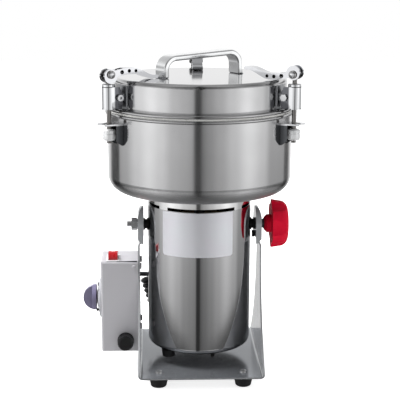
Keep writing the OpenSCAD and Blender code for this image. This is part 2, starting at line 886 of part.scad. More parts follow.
cord_gap = min([for (i = [0 : cord_count - 1], j = [i + 1 : 1 : cord_count - 1])
    if (j - i > rings_per_curl - 2) norm(cord_points[i] - cord_points[j])]) - cord_d;
echo(least_cord_gap = cord_gap);

module curly_cord() {
    rings = [for (i = [0 : cord_count - 1]) let (t = cord_tangent(i), n = cord_normals[i], b = cross(t, n))
        for (s = [0 : cord_sides - 1]) let (a = 360 * s / cord_sides)
            cord_points[i] + cord_radius * (cos(a) * n + sin(a) * b)];
    last = (cord_count - 1) * cord_sides;
    walls = [for (i = [0 : cord_count - 2], s = [0 : cord_sides - 1])
        let (a = i * cord_sides + s, b = i * cord_sides + (s + 1) % cord_sides)
        for (f = [[a, a + cord_sides, b], [b, a + cord_sides, b + cord_sides]]) f];
    ends = concat([for (s = [1 : cord_sides - 2]) [0, s, s + 1]],
        [for (s = [1 : cord_sides - 2]) [last, last + s + 1, last + s]]);
    color(dark) polyhedron(rings, concat(walls, ends));
}

// Motor unit

module motor_housing() {
    slot_turn = 360 / slot_count;
    pocket_r = bearing_d / 2 + slip;
    color(steel) difference() {
        union() {
            translate([0, 0, drum_z]) cup(drum_r, drum_height, drum_wall, drum_corner);
            translate([0, 0, drum_z + drum_wall / 2])
                ring(pocket_r + pocket_wall, shaft_end_d, pocket_top - drum_z - drum_wall / 2);
            intersection() {
                translate([0, 0, pivot_height]) for (side = [0, 180]) rotate(side)
                    x_cylinder(boss_r, drum_in - boss_depth, boss_depth + drum_wall);
                cylinder(r = drum_r - drum_wall / 2, h = drum_top);
            }
        }
        for (i = [0 : slot_count - 1]) rotate(i * slot_turn - slot_turn / 2 + slot_tab / 2)
            translate([0, 0, slot_z]) rotate_extrude(angle = slot_turn - slot_tab)
                translate([drum_in - cut, 0]) square([drum_wall + 2 * cut, slot_height]);
        translate([0, 0, lower_bearing_z]) cylinder(r = pocket_r, h = pocket_top);
        for (i = [0 : floor_holes - 1]) rotate(i * 360 / floor_holes) translate([drum_r * 0.6, 0, drum_z - cut])
            cylinder(d = floor_hole_d, h = drum_wall + 2 * cut);
        translate([0, 0, pivot_height]) x_cylinder(bolt_r + slip, -drum_d, 2 * drum_d);
    }
}

// Places of the bumpers as shares of the drum's radius, and the radius of each
bumpers = [[-0.61, -0.58, 8], [0.24, -0.68, 3]];

module bottom_bumpers() {
    color(dark) for (b = bumpers) translate([b.x * drum_r, b.y * drum_r, drum_z - bumper_height])
        cylinder(r1 = b.z - 1, r2 = b.z, h = bumper_height);
}

module at_bowl_screws() {
    for (i = [0 : 3]) rotate(45 + 90 * i) translate([bowl_screw_r, 0, 0]) children();
}

module motor_plate() {
    pocket_r = bearing_d / 2 + slip;
    color("gray") difference() {
        union() {
            translate([0, 0, plate_z]) cylinder(r = drum_in - slip, h = plate_height);
            translate([0, 0, upper_bearing_z])
                cylinder(r = pocket_r + pocket_wall, h = plate_z - upper_bearing_z + cut);
        }
        translate([0, 0, upper_bearing_z - cut]) cylinder(r = pocket_r, h = bearing_height + cut);
        cylinder(r = shaft_d / 2 + free, h = drum_top + cut);
        at_bowl_screws() translate([0, 0, plate_z - cut])
            cylinder(d = bowl_screw_d + 2 * slip, h = plate_height + 2 * cut);
    }
}

module bowl_seat() {
    color(dark) translate([0, 0, drum_top]) difference() {
        ring(seat_d / 2, seal_r + slip, seat_height);
        at_bowl_screws() translate([0, 0, -cut])
            cylinder(d = bowl_screw_d + 2 * slip, h = seat_height + 2 * cut);
    }
}

module stator_core() {
    frame_in = drum_in - core_wall;
    color("dimgray") translate([0, 0, core_z]) linear_extrude(core_height) difference() {
        union() {
            difference() {
                circle(drum_in - slip);
                circle(frame_in);
            }
            intersection() {
                circle(frame_in + cut);
                square([drum_d, pole_width], center = true);
            }
        }
        circle(armature_d / 2 + air_gap);
    }
}

module field_coils() {
    color("peru") for (side = [0, 180]) rotate(side) translate([0, 0, core_z - coil_end])
        linear_extrude(core_height + 2 * coil_end) intersection() {
            difference() {
                circle(drum_in - core_wall - slip);
                circle(armature_d / 2 + air_gap + 2);
            }
            translate([-drum_r, pole_width / 2 + slip]) square([drum_d, drum_r]);
        }
}

module bearings() {
    color(steel) {
        translate([0, 0, lower_bearing_z]) ring(bearing_d / 2, shaft_end_d / 2 + slip / 2, bearing_height);
        translate([0, 0, upper_bearing_z]) ring(bearing_d / 2, shaft_d / 2 + slip / 2, bearing_height);
    }
}

module at_brushes() {
    for (side = [90, 270]) rotate(side) translate([0, 0, brush_z]) children();
}

module brush_holders() {
    holder = brush_side + 2 * slip + 2 * holder_wall;
    start = commutator_d / 2 + 4;
    color("khaki") intersection() {
        at_brushes() difference() {
            translate([start, -holder / 2, -holder / 2]) cube([drum_r - start, holder, holder]);
            translate([start - cut, -brush_side / 2 - slip, -brush_side / 2 - slip])
                cube([brush_length + 6, brush_side + 2 * slip, brush_side + 2 * slip]);
        }
        cylinder(r = drum_in - slip, h = drum_top);
    }
}

brush_length = 22;

module carbon_brushes() {
    color("black") at_brushes() intersection() {
        translate([0, -brush_side / 2, -brush_side / 2])
            cube([commutator_d / 2 + brush_length, brush_side, brush_side]);
        translate([0, 0, -brush_side]) ring(drum_r, commutator_d / 2 + seat, 2 * brush_side);
    }
}

module housing_gland() {
    color(dark) difference() {
        rotate(gland_angle) translate([drum_r - 2, 0, gland_z]) rotate([0, 90, 0])
            cylinder(r1 = gland_r, r2 = gland_r - 1.5, h = drum_gland_length + 2);
        cylinder(r = drum_r + slip / 2, h = drum_top);
    }
}

module pivot_bolts() {
    head_x = drum_in - boss_depth;
    color(steel) translate([0, 0, pivot_height]) {
        x_cylinder(bolt_r, head_x - 1, knob_face - knob_head / 2 - head_x + 1);
        translate([head_x - bolt_head, 0, 0]) rotate([0, 90, 0]) hexagon(2 * bolt_head_r, bolt_head);
        mirror([1, 0, 0]) {
            x_cylinder(bolt_r, head_x - 1, washer_out + nut_face + nut_length + bolt_tail - head_x + 1);
            translate([head_x - bolt_head, 0, 0]) rotate([0, 90, 0]) hexagon(2 * bolt_head_r, bolt_head);
        }
    }
}

spacer_waist = 1.5;

module pivot_spacers() {
    length = ear_in - drum_r - seat;
    color(dark) difference() {
        translate([0, 0, pivot_height]) for (side = [0, 180]) rotate(side) {
            x_cylinder(spacer_d / 2 - spacer_waist, drum_r - 2, length + 2);
            translate([drum_r + length - 1.5, 0, 0]) x_cylinder(spacer_d / 2, 0, 1.5);
            x_cylinder(spacer_d / 2, drum_r - 2, 3.2);
        }
        cylinder(r = drum_r + slip / 2, h = drum_top);
        translate([0, 0, pivot_height]) x_cylinder(bolt_r + slip / 2, -half_width, stand_width);
    }
}

module pivot_washers() {
    color("gray") translate([0, 0, pivot_height]) for (side = [0, 180]) rotate(side) {
        translate([ear_out + seat, 0, 0]) rotate([0, 90, 0])
            ring(washer_d / 2 - 1, bolt_r + slip / 2, friction_washer - seat);
        translate([ear_out + friction_washer, 0, 0]) rotate([0, 90, 0])
            ring(washer_d / 2, bolt_r + slip / 2, steel_washer);
    }
    waist = 1;
    color(dark) translate([washer_out, 0, pivot_height]) rotate([0, 90, 0]) difference() {
        union() {
            cylinder(r = collar_d / 2 - waist, h = collar_length);
            cylinder(r = collar_d / 2, h = collar_length / 4);
            translate([0, 0, collar_length * 0.75]) cylinder(r = collar_d / 2, h = collar_length / 4);
        }
        translate([0, 0, -cut]) cylinder(r = bolt_r + slip / 2, h = collar_length + 2 * cut);
    }
}

module pivot_nut() {
    color(steel) translate([-washer_out, 0, pivot_height]) rotate([0, -90, 0]) difference() {
        union() {
            cylinder(d = nut_across - 1, h = nut_face + cut);
            translate([0, 0, nut_face]) hexagon(nut_across, nut_length);
        }
        translate([0, 0, -cut]) cylinder(r = bolt_r + slip / 2, h = nut_face + nut_length + 2 * cut);
    }
}

module red_knob() {
    knob_r = knob_d / 2;
    scallop_r = 16;
    scallop = 4.5;
    taper = 1.5;
    dome = 2;
    neck_bevel = 3;
    wall_height = knob_head - dome - knob_round;
    crown_r = knob_r - taper - knob_round;
    color([0.75, 0.1, 0.16]) translate([knob_start, 0, pivot_height]) rotate([0, 90, 0]) difference() {
        union() {
            cylinder(r1 = neck_r - neck_bevel, r2 = neck_r, h = neck_bevel);
            translate([0, 0, neck_bevel]) cylinder(r = neck_r, h = knob_neck - neck_bevel + cut);
            translate([0, 0, knob_neck]) intersection() {
                linear_extrude(knob_head) difference() {
                    circle(knob_r);
                    for (i = [0 : knob_lobes - 1]) rotate((i + 0.5) * 360 / knob_lobes)
                        translate([knob_r + scallop_r - scallop, 0]) circle(scallop_r);
                }
                rotate_extrude() {
                    polygon([[0, 0], [knob_r, 0], [knob_r - taper, wall_height], [crown_r, wall_height],
                        [crown_r, knob_head - dome], [0, knob_head]]);
                    translate([crown_r, wall_height]) intersection() {
                        circle(knob_round);
                        square(knob_round);
                    }
                }
            }
        }
        translate([0, 0, -cut]) cylinder(r = bolt_r + slip, h = knob_neck + knob_head / 2 + 2 * cut);
    }
}

// Bowl, rim and lid

// A flange whose outer edge is rolled round
module rolled_ring(outer_r, inner_r, height) {
    rotate_extrude() {
        translate([inner_r, 0]) square([outer_r - height / 2 - inner_r, height]);
        translate([outer_r - height / 2, height / 2]) circle(height / 2);
    }
}

module bowl() {
    color(steel) difference() {
        union() {
            translate([0, 0, bowl_z]) cup(bowl_r, bowl_height + bowl_flange, bowl_wall, bowl_corner);
            translate([0, 0, bowl_flange_z]) rolled_ring(flange_r, bowl_r - bowl_wall, bowl_flange);
        }
        translate([0, 0, bowl_z - cut]) cylinder(r = seal_r + slip, h = bowl_wall + 2 * cut);
        at_bowl_screws() translate([0, 0, bowl_z - cut])
            cylinder(d = bowl_screw_d + 2 * slip, h = bowl_wall + 2 * cut);
    }
}

module bowl_screws() {
    head = 3;
    color(steel) at_bowl_screws() {
        translate([0, 0, bowl_floor]) cylinder(d1 = bowl_screw_d * 1.9, d2 = bowl_screw_d * 1.4, h = head);
        translate([0, 0, plate_z]) cylinder(d = bowl_screw_d, h = bowl_floor - plate_z + cut);
    }
}

module shaft_seal() {
    color(dark) translate([0, 0, drum_top]) {
        ring(seal_r, shaft_d / 2 + slip, seat_height + seal_height);
        translate([0, 0, seat_height + bowl_wall]) ring(seal_r + 3, seal_r - cut, 2);
    }
}

module keeper_2d() {
    mouth_r = clamp_r + keeper_reach - keeper_mouth;
    tip_r = clamp_r + keeper_reach;
    difference() {
        polygon([[bowl_r - 8, -keeper_half], [clamp_r, -keeper_half], [tip_r, -keeper_half + 1],
            [mouth_r, 0], [tip_r, keeper_half - 1], [clamp_r, keeper_half], [bowl_r - 8, keeper_half]]);
        translate([clamp_r - 1, 0]) circle(keeper_slot / 2);
        translate([clamp_r - 1, -keeper_slot / 2]) square([keeper_reach + 2, keeper_slot]);
    }
}

module keeper_brackets() {
    gusset_edge = bowl_r + gusset_reach;
    gusset_slant = 5;
    color(steel) difference() {
        for (a = clamp_angles) rotate(a) {
            translate([0, 0, keeper_z]) linear_extrude(keeper_sheet) keeper_2d();
            for (y = [-keeper_half, keeper_half - keeper_sheet]) translate([0, y + keeper_sheet, keeper_z])
                rotate([90, 0, 0]) linear_extrude(keeper_sheet)
                    polygon([[bowl_r - 8, keeper_sheet / 2], [gusset_edge, keeper_sheet / 2],
                        [gusset_edge, gusset_slant - gusset_depth], [bowl_r + 1, -gusset_depth],
                        [bowl_r - 8, -gusset_depth]]);
        }
        cylinder(r = bowl_r + slip / 2, h = lid_top);
    }
}

module bowl_gasket() {
    color([0.85, 0.85, 0.84]) translate([0, 0, gasket_z])
        ring(flange_r - flange_width / 2, lid_r - 2, gasket_height);
}

module lid() {
    color(steel) {
        translate([0, 0, lid_top]) mirror([0, 0, 1])
            cup(lid_r, lid_height + lid_flange, lid_wall, lid_corner);
        translate([0, 0, lid_flange_z]) rolled_ring(flange_r, lid_r - lid_wall, lid_flange);
    }
}

module lid_lugs() {
    color(steel) difference() {
        for (a = clamp_angles) rotate(a) {
            translate([0, 0, swing_z]) along_y(2 * lug_half) {
                translate([lid_r - 8, -lug_end_r]) square([swing_r - lid_r + 8, 2 * lug_end_r]);
                translate([swing_r, 0]) circle(lug_end_r);
            }
            intersection() {
                translate([0, 0, lid_z + seat])
                    cylinder(r = lid_r + lug_plate, h = lid_height - lid_corner - seat);
                translate([0, -lug_plate_half, 0]) cube([lid_d, 2 * lug_plate_half, lid_top]);
            }
        }
        cylinder(r = lid_r + slip / 2, h = lid_top + cut);
        for (a = clamp_angles) rotate(a) swing_bore(lug_half + cut);
    }
}

module swing_bore(half) {
    translate([swing_r, 0, swing_z]) rotate([90, 0, 0])
        cylinder(d = swing_screw_d + 2 * slip, h = 2 * half, center = true);
}

module swing_screws() {
    ear_face = barrel_d / 2 + seat;
    color(steel) for (a = clamp_angles) rotate(a) translate([swing_r, 0, swing_z]) rotate([-90, 0, 0]) {
        translate([0, 0, -ear_face - 2.5]) cylinder(d = swing_screw_d, h = 2 * ear_face + 3.5);
        translate([0, 0, ear_face]) difference() {
            cylinder(d = 1.75 * swing_screw_d, h = 3.2);
            translate([0, 0, 1.5]) hexagon(3, 3);
        }
        translate([0, 0, -ear_face - 2.5]) hexagon(7, 2.5);
    }
}

handle_length = 2 * ((clamp_r - lever_length) * cos(30 - handle_turn) - handle_gap);

module handle() {
    half = handle_length / 2;
    depth = handle_length * sin(handle_lean);
    color(steel) translate([0, 0, lid_top]) rotate(handle_turn) along_y(handle_width) intersection() {
        rotate(handle_lean) difference() {
            handle_outer_2d(half, handle_height, handle_bend, depth);
            translate([0, -cut]) handle_outer_2d(half - handle_thickness, handle_height - handle_thickness + cut,
                handle_bend - handle_thickness, depth);
        }
        translate([-handle_length, 0]) square([2 * handle_length, 2 * handle_height]);
    }
}

// The legs run on below the line that the height is measured from
module handle_outer_2d(half, height, bend, depth) {
    translate([-half, -depth]) square([2 * half, height - bend + depth]);
    translate([-half + bend, 0]) square([2 * (half - bend), height]);
    for (side = [-1, 1]) translate([side * (half - bend), height - bend]) intersection() {
        circle(bend);
        translate([-bend, 0]) square([2 * bend, bend]);
    }
}

// Rotor

module rotor_shaft() {
    shoulder_r = 12;
    shoulder_z = drum_top + seat_height + seal_height + 1;
    color(steel) {
        translate([0, 0, lower_bearing_z + seat]) cylinder(d = shaft_end_d, h = fan_z - lower_bearing_z);
        translate([0, 0, pocket_top + 2]) cylinder(d = shaft_d, h = blade_nut_z + blade_nut_height - pocket_top);
        translate([0, 0, shoulder_z]) cylinder(r = shoulder_r, h = lower_blade_z - shoulder_z);
        translate([0, 0, lower_blade_z + blade_thickness]) cylinder(r = shoulder_r, h = blade_spacing);
    }
}

module armature() {
    winding_r = armature_d / 2 - 6;
    color("sienna") difference() {
        union() {
            translate([0, 0, core_z]) cylinder(d = armature_d, h = core_height);
            translate([0, 0, core_z - coil_end]) cylinder(r = winding_r, h = core_height + 2 * coil_end);
        }
        translate([0, 0, core_z - coil_end - cut])
            cylinder(d = shaft_d + slip, h = core_height + 2 * coil_end + 2 * cut);
    }
}

module commutator() {
    color("chocolate") translate([0, 0, commutator_z])
        ring(commutator_d / 2, shaft_d / 2 + slip / 2, commutator_height);
}

module cooling_fan() {
    hub_r = 14;
    fan_sheet = 2;
    color("white") translate([0, 0, fan_z]) difference() {
        union() {
            translate([0, 0, fan_height - fan_sheet]) cylinder(d = fan_d, h = fan_sheet);
            cylinder(r = hub_r, h = fan_height);
            for (i = [0 : fan_vanes - 1]) rotate(i * 360 / fan_vanes) translate([hub_r - cut, -fan_sheet / 2, 0])
                cube([fan_d / 2 - hub_r - cut, fan_sheet, fan_height - fan_sheet / 2]);
        }
        translate([0, 0, -cut]) cylinder(d = shaft_d + slip, h = fan_height + 2 * cut);
    }
}

// A flat bar whose two tips bend up, with bevelled leading edges
module blade(length, bend_start) {
    half = length / 2;
    slope = tip_rise / (half - bend_start);
    bevel_length = 1.7 * blade_bend;
    color(steel) difference() {
        along_y(blade_width) polygon([[-bend_start, 0], [bend_start, 0], [half, tip_rise],
            [half, tip_rise + blade_thickness], [bend_start - slope, blade_thickness],
            [slope - bend_start, blade_thickness], [-half, tip_rise + blade_thickness], [-half, tip_rise]]);
        for (side = [0, 180]) rotate(side) translate([half - bevel_length, blade_width / 2, -cut]) rotate(-9)
            cube([2 * bevel_length, blade_width, tip_rise + blade_thickness + 2 * cut]);
        translate([0, 0, -cut]) cylinder(d = shaft_d + slip, h = blade_thickness + 2 * cut);
    }
}

module lower_blade() {
    translate([0, 0, lower_blade_z]) blade(lower_blade_length, lower_blade_length / 2 - blade_bend);
}

module upper_blade() {
    translate([0, 0, upper_blade_z]) rotate(90) blade(upper_blade_length, upper_blade_length / 2 - blade_bend);
}

module blade_nut() {
    color(steel) translate([0, 0, blade_nut_z]) difference() {
        hexagon(blade_nut_across, blade_nut_height);
        translate([0, 0, -cut]) cylinder(d = shaft_d + slip, h = blade_nut_height + 2 * cut);
    }
}

// Clamps. Each is drawn at radius clamp_r along +X and turned to its place

module clamp_barrel(n) {
    barrel_r = barrel_d / 2;
    foot_lip = 0.5;
    foot_sheet = 1;
    color(steel) rotate(clamp_angles[n]) {
        difference() {
            union() {
                translate([clamp_r, 0, barrel_z]) cylinder(r = barrel_r, h = barrel_length);
                translate([clamp_r, 0, barrel_z]) cylinder(r = barrel_r + foot_lip, h = foot_sheet);
                for (y = [-barrel_r + ear_plate / 2, barrel_r - ear_plate / 2])
                    translate([0, y, swing_z]) along_y(ear_plate) clamp_ear_2d();
            }
            translate([clamp_r, 0, barrel_z - cut]) cylinder(r = rod_d / 2 + seat, h = barrel_length + 2 * cut);
            translate([swing_r, 0, swing_z]) rotate([90, 0, 0])
                cylinder(r = lug_end_r + 0.5, h = 2 * (barrel_r - ear_plate), center = true);
            swing_bore(barrel_r + cut);
        }
        translate([clamp_r, 0, barrel_top]) rotate_extrude() difference() {
            union() {
                square([barrel_r, washer_height - 1]);
                square([barrel_r - 1, washer_height]);
                translate([barrel_r - 1, washer_height - 1]) circle(1);
            }
            square([rod_d / 2 + seat, washer_height]);
        }
    }
}

// An ear of the barrel, seen along the swing screw. Its inner corners are cut off to clear the lid
module clamp_ear_2d() {
    low = barrel_z - swing_z;
    high = barrel_top - swing_z;
    inner = swing_r - 1.05 * swing_screw_d;
    foot = swing_r - 0.75 * swing_screw_d;
    polygon([[clamp_r, low], [flange_r + free, low], [foot, low + seat], [inner, low / 2],
        [inner, high * 0.4], [swing_r - free, high], [clamp_r, high]]);
}

module clamp_rod(n) {
    pin_half = lever_width / 2 + seat + pin_head;
    color(steel) rotate(clamp_angles[n]) translate([clamp_r, 0, 0]) {
        translate([0, 0, nut_z - rod_end]) cylinder(d = rod_d, h = pin_z - nut_z + rod_end);
        translate([0, 0, pin_z]) rotate([90, 0, 0]) {
            cylinder(r = eye_r, h = eye_width, center = true);
            cylinder(d = cross_pin_d, h = 2 * pin_half, center = true);
            for (z = [-pin_half, pin_half - pin_head]) translate([0, 0, z])
                cylinder(d = pin_head_d, h = pin_head);
        }
    }
}

// Centre line and half depth of a lever's arm, at a distance in from its pin
function arm_line(u) = let (t = u / lever_length) -lever_dip * smooth_step(t / 0.38)
    + (lever_dip + lever_curl) * smooth_step((t - 0.48) / 0.42);
function arm_half(u) = lever_depth / 2
    - (lever_depth - lever_tip) / 2 * smooth_step((u / lever_length - 0.45) / 0.55);

// A lever with its tip curled up, seen along its pin
module lever_2d() {
    steps = 22;
    reach = lever_length - lever_tip / 2;
    line = [for (i = [0 : steps]) reach * i / steps];
    upper = [for (u = line) [clamp_r - u, arm_line(u) + arm_half(u)]];
    lower = [for (i = [steps : -1 : 0]) let (u = line[i]) [clamp_r - u, arm_line(u) - arm_half(u)]];
    difference() {
        union() {
            polygon(concat(upper, lower));
            translate([clamp_r - reach, arm_line(reach)]) circle(lever_tip / 2);
            translate([clamp_r, cam_offset]) circle(cam_r);
        }
        translate([clamp_r, 0]) circle(d = cross_pin_d + 2 * slip);
        for (h = lever_holes) translate([clamp_r - h.x, arm_line(h.x)]) circle(d = h.y);
    }
}

// Distance of each hole from the pin, and its diameter
lever_holes = [[0.23 * lever_length, 4.6], [0.38 * lever_length, 4], [0.52 * lever_length, 3.6]];

// A tight lever lies curled down, a released one curled up
module clamp_lever(n, tight) {
    color(steel) rotate(clamp_angles[n]) translate([0, 0, pin_z]) difference() {
        mirror([0, 0, tight ? 1 : 0]) along_y(lever_width) lever_2d();
        translate([clamp_r - fork_depth, -fork_gap / 2, -2 * cam_r])
            cube([fork_depth + 2 * cam_r, fork_gap, 4 * cam_r]);
    }
}

module clamp_nut(n) {
    nut_r = nut_d / 2;
    flute_r = 0.7;
    color(steel) rotate(clamp_angles[n]) translate([clamp_r, 0, nut_z]) difference() {
        union() {
            linear_extrude(nut_height) difference() {
                circle(nut_r);
                for (i = [0 : nut_flutes - 1]) rotate(i * 360 / nut_flutes) translate([nut_r + 0.2, 0])
                    circle(flute_r);
            }
            translate([0, 0, nut_height]) cylinder(r1 = nut_r - 0.4, r2 = keeper_slot / 2, h = nut_dome);
        }
        translate([0, 0, -cut]) cylinder(r = rod_d / 2 + slip, h = nut_height + nut_dome + 2 * cut);
    }
}

stand_frame();
rubber_feet();
foot_screws();
stop_peg();
control_box();
box_back_plate();
box_screws();
timer_body();
dial_plate();
timer_knob();
switch_body();
switch_rocker();
fuse_holder();
fuse_cap();
cord_glands();
curly_cord();
motor_housing();
bottom_bumpers();
motor_plate();
bowl_seat();
stator_core();
field_coils();
bearings();
brush_holders();
carbon_brushes();
housing_gland();
pivot_bolts();
pivot_spacers();
pivot_washers();
pivot_nut();
red_knob();
bowl();
bowl_screws();
shaft_seal();
keeper_brackets();
bowl_gasket();
lid();
lid_lugs();
handle();
swing_screws();
rotor_shaft();
armature();
commutator();
cooling_fan();
lower_blade();
upper_blade();
blade_nut();
clamp_barrel(0);  // clamp_barrel_1
clamp_rod(0);  // clamp_rod_1
clamp_lever(0, true);  // clamp_lever_1
clamp_nut(0);  // clamp_nut_1
clamp_barrel(1);  // clamp_barrel_2
clamp_rod(1);  // clamp_rod_2
clamp_lever(1, false);  // clamp_lever_2
clamp_nut(1);  // clamp_nut_2
clamp_barrel(2);  // clamp_barrel_3
clamp_rod(2);  // clamp_rod_3
clamp_lever(2, true);  // clamp_lever_3
clamp_nut(2);  // clamp_nut_3
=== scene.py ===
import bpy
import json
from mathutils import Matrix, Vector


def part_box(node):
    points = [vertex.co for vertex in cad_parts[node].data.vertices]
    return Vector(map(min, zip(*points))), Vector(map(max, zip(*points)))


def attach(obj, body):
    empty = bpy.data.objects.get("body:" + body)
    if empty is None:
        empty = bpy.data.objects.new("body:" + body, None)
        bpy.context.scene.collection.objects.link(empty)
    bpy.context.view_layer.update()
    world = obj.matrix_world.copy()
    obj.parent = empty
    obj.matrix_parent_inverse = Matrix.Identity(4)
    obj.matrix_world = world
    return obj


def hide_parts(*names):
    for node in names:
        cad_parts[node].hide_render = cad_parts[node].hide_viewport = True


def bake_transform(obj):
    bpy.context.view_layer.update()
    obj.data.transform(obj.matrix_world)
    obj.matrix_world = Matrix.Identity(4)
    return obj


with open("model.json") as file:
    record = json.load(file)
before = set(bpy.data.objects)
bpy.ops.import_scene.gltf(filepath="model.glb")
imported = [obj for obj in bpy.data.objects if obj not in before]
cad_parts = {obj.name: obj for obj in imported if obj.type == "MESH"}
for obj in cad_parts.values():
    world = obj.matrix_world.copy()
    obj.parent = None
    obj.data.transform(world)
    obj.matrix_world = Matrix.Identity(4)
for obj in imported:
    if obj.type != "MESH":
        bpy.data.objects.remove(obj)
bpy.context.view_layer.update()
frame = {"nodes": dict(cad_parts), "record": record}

import json
import math

import bpy
from mathutils import Matrix, Vector

MM = 0.001
NODES = frame["nodes"]

# Heights and radii of the grinder, as in the part's source, in millimetres
DRUM_R = 59
DRUM_Z = 32
COLLAR_Z = 197
KEEPER_Z = 294
BASE_TOP = 15
BOWL_Z = 213
LID_TOP = 341.5
BOX_X = -113
BOX_HALF_DEPTH = 25
BOX_TOP = 133
BOX_ROUND = 3
DIAL_Z = 84
CLAMP_ANGLES = {1: 210, 2: 330, 3: 90}
CLAMP_R = 115


def linear(colour):
    """An sRGB hex colour as linear RGBA."""
    parts = [int(colour[i:i + 2], 16) / 255 for i in (1, 3, 5)]
    return [p / 12.92 if p <= 0.04045 else ((p + 0.055) / 1.055) ** 2.4 for p in parts] + [1.0]


def per_metre(size_mm):
    """Texture scale at which one repeat is size_mm wide."""
    return 1 / (size_mm * MM)


def add(tree, kind, inputs=None, **settings):
    """Adds a node, with its settings and its inputs: a socket is linked, any other value is set."""
    node = tree.nodes.new(kind)
    for name, value in settings.items():
        setattr(node, name, value)
    for name, value in (inputs or {}).items():
        if isinstance(value, bpy.types.NodeSocket):
            tree.links.new(value, node.inputs[name])
        else:
            node.inputs[name].default_value = value
    return node


# Camera, at the photograph's viewing angle: degrees and metres, lens and sensor in millimetres

CAMERA_AZIMUTH = -2.4
CAMERA_DISTANCE = 1.225
CAMERA_HEIGHT = 0.468
CAMERA_PITCH = 12.4
CAMERA_ROLL = 0.24
CAMERA_LENS = 98.4
CAMERA_SENSOR = 36
CAMERA_NEAR = 0.05
CAMERA_OFFSET = 0.0008


def make_camera():
    bpy.ops.object.camera_add()
    camera = bpy.context.object
    camera.name = "photo_camera"
    camera.data.lens = CAMERA_LENS
    camera.data.sensor_width = CAMERA_SENSOR
    camera.data.clip_start = CAMERA_NEAR
    turn = Matrix.Rotation(math.radians(CAMERA_AZIMUTH), 4, "Z")
    place = turn @ Vector((CAMERA_OFFSET, -CAMERA_DISTANCE, CAMERA_HEIGHT))
    tilt = Matrix.Rotation(math.radians(90 - CAMERA_PITCH), 4, "X")
    roll = Matrix.Rotation(math.radians(CAMERA_ROLL), 4, "Z")
    camera.matrix_world = Matrix.Translation(place) @ turn @ tilt @ roll
    bpy.context.scene.camera = camera


# Curly cord from the control box's gland to the drum's, in millimetres; its curls lie where its solid's do

CORD_D = 5.5
CORD_SMOOTHNESS = 4
BACK = Vector((0, 1, 0))
CORD_START = Vector((-92, 35, 104))
GLAND_ANGLE = math.radians(130)
GLAND_OUT = Vector((math.cos(GLAND_ANGLE), math.sin(GLAND_ANGLE), 0))
GLAND_END_R, GLAND_END_Z = 67, 44
CORD_END = GLAND_END_R * GLAND_OUT + Vector((0, 0, GLAND_END_Z))
TAIL_OUT, TAIL_RISE = 13, 9
CURL_TOP = Vector((-62.5, 50, 94))
CURL_BOTTOM = CORD_END + TAIL_OUT * GLAND_OUT + Vector((0, 0, TAIL_RISE))
CURL_R = 4.75
CURLS = 6.1
CURL_PHASE = -90
CURL_POINTS = 20
LEAD_STRAIGHT = 6
LEAD_REACH, CURL_REACH = 11, 14
TAIL_STRAIGHT = 3
TAIL_REACH = 8
BEND_STEPS = 14
WAY_STEP = 0.001


def bend(start, start_pull, end, end_pull):
    """Points of a smooth bend from start up to end; a pull is the cord's way there, longer where it holds on."""
    points = []
    for i in range(BEND_STEPS):
        t = i / BEND_STEPS
        s = 1 - t
        points.append(s ** 3 * start + 3 * s * s * t * (start + start_pull)
                      + 3 * s * t * t * (end - end_pull) + t ** 3 * end)
    return points


def cord_route():
    """Points of the cord's centre line, in metres; it runs into its curls and out of them along their turn."""
    axis = (CURL_BOTTOM - CURL_TOP).normalized()
    side = axis.cross(BACK).normalized()
    up = axis.cross(side)

    def on_curl(turns):
        angle = math.radians(360 * turns + CURL_PHASE)
        centre = CURL_TOP.lerp(CURL_BOTTOM, turns / CURLS)
        return centre + CURL_R * (math.cos(angle) * side + math.sin(angle) * up)

    def way(turns):
        return (on_curl(turns + WAY_STEP) - on_curl(turns - WAY_STEP)).normalized()

    first = CORD_START + LEAD_STRAIGHT * BACK
    last = CORD_END + TAIL_STRAIGHT * GLAND_OUT
    steps = round(CURLS * CURL_POINTS)
    route = [CORD_START, CORD_START + LEAD_STRAIGHT / 2 * BACK]
    route += bend(first, LEAD_REACH * BACK, on_curl(0), CURL_REACH * way(0))
    route += [on_curl(CURLS * i / steps) for i in range(steps)]
    route += bend(on_curl(CURLS), TAIL_REACH * way(CURLS), last, -TAIL_REACH * GLAND_OUT)
    route += [last, CORD_END + TAIL_STRAIGHT / 2 * GLAND_OUT, CORD_END]
    return [p * MM for p in route]


def make_cord(materials):
    route = cord_route()
    line = bpy.data.curves.new("curly_lead", "CURVE")
    line.dimensions = "3D"
    spline = line.splines.new("POLY")
    spline.points.add(len(route) - 1)
    for point, place in zip(spline.points, route):
        point.co = (*place, 1)
    line.bevel_depth = CORD_D / 2 * MM
    line.bevel_resolution = CORD_SMOOTHNESS
    line.use_fill_caps = True
    cord = bpy.data.objects.new("curly_lead", line)
    bpy.context.collection.objects.link(cord)
    select_only(cord)
    bpy.ops.object.convert(target="MESH")
    cord = bpy.context.object
    bpy.ops.object.shade_smooth()
    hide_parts("curly_cord")
    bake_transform(cord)
    put_on(cord, materials["cord_sheath"])


# Modelling helpers

MERGE = 0.002  # millimetres
FLAT_WITHIN = math.radians(0.5)
SHARP_FROM = math.radians(32)
EASE_STEPS = 2
FLAT_WEIGHT = 100
TURNED_CREASE = math.radians(35)
PATCH_CREASE = math.radians(30)
CORNER_STEPS = 6
CAP_HEIGHT = 0.7  # of a letter's size


def select_only(piece):
    bpy.ops.object.select_all(action="DESELECT")
    piece.select_set(True)
    bpy.context.view_layer.objects.active = piece


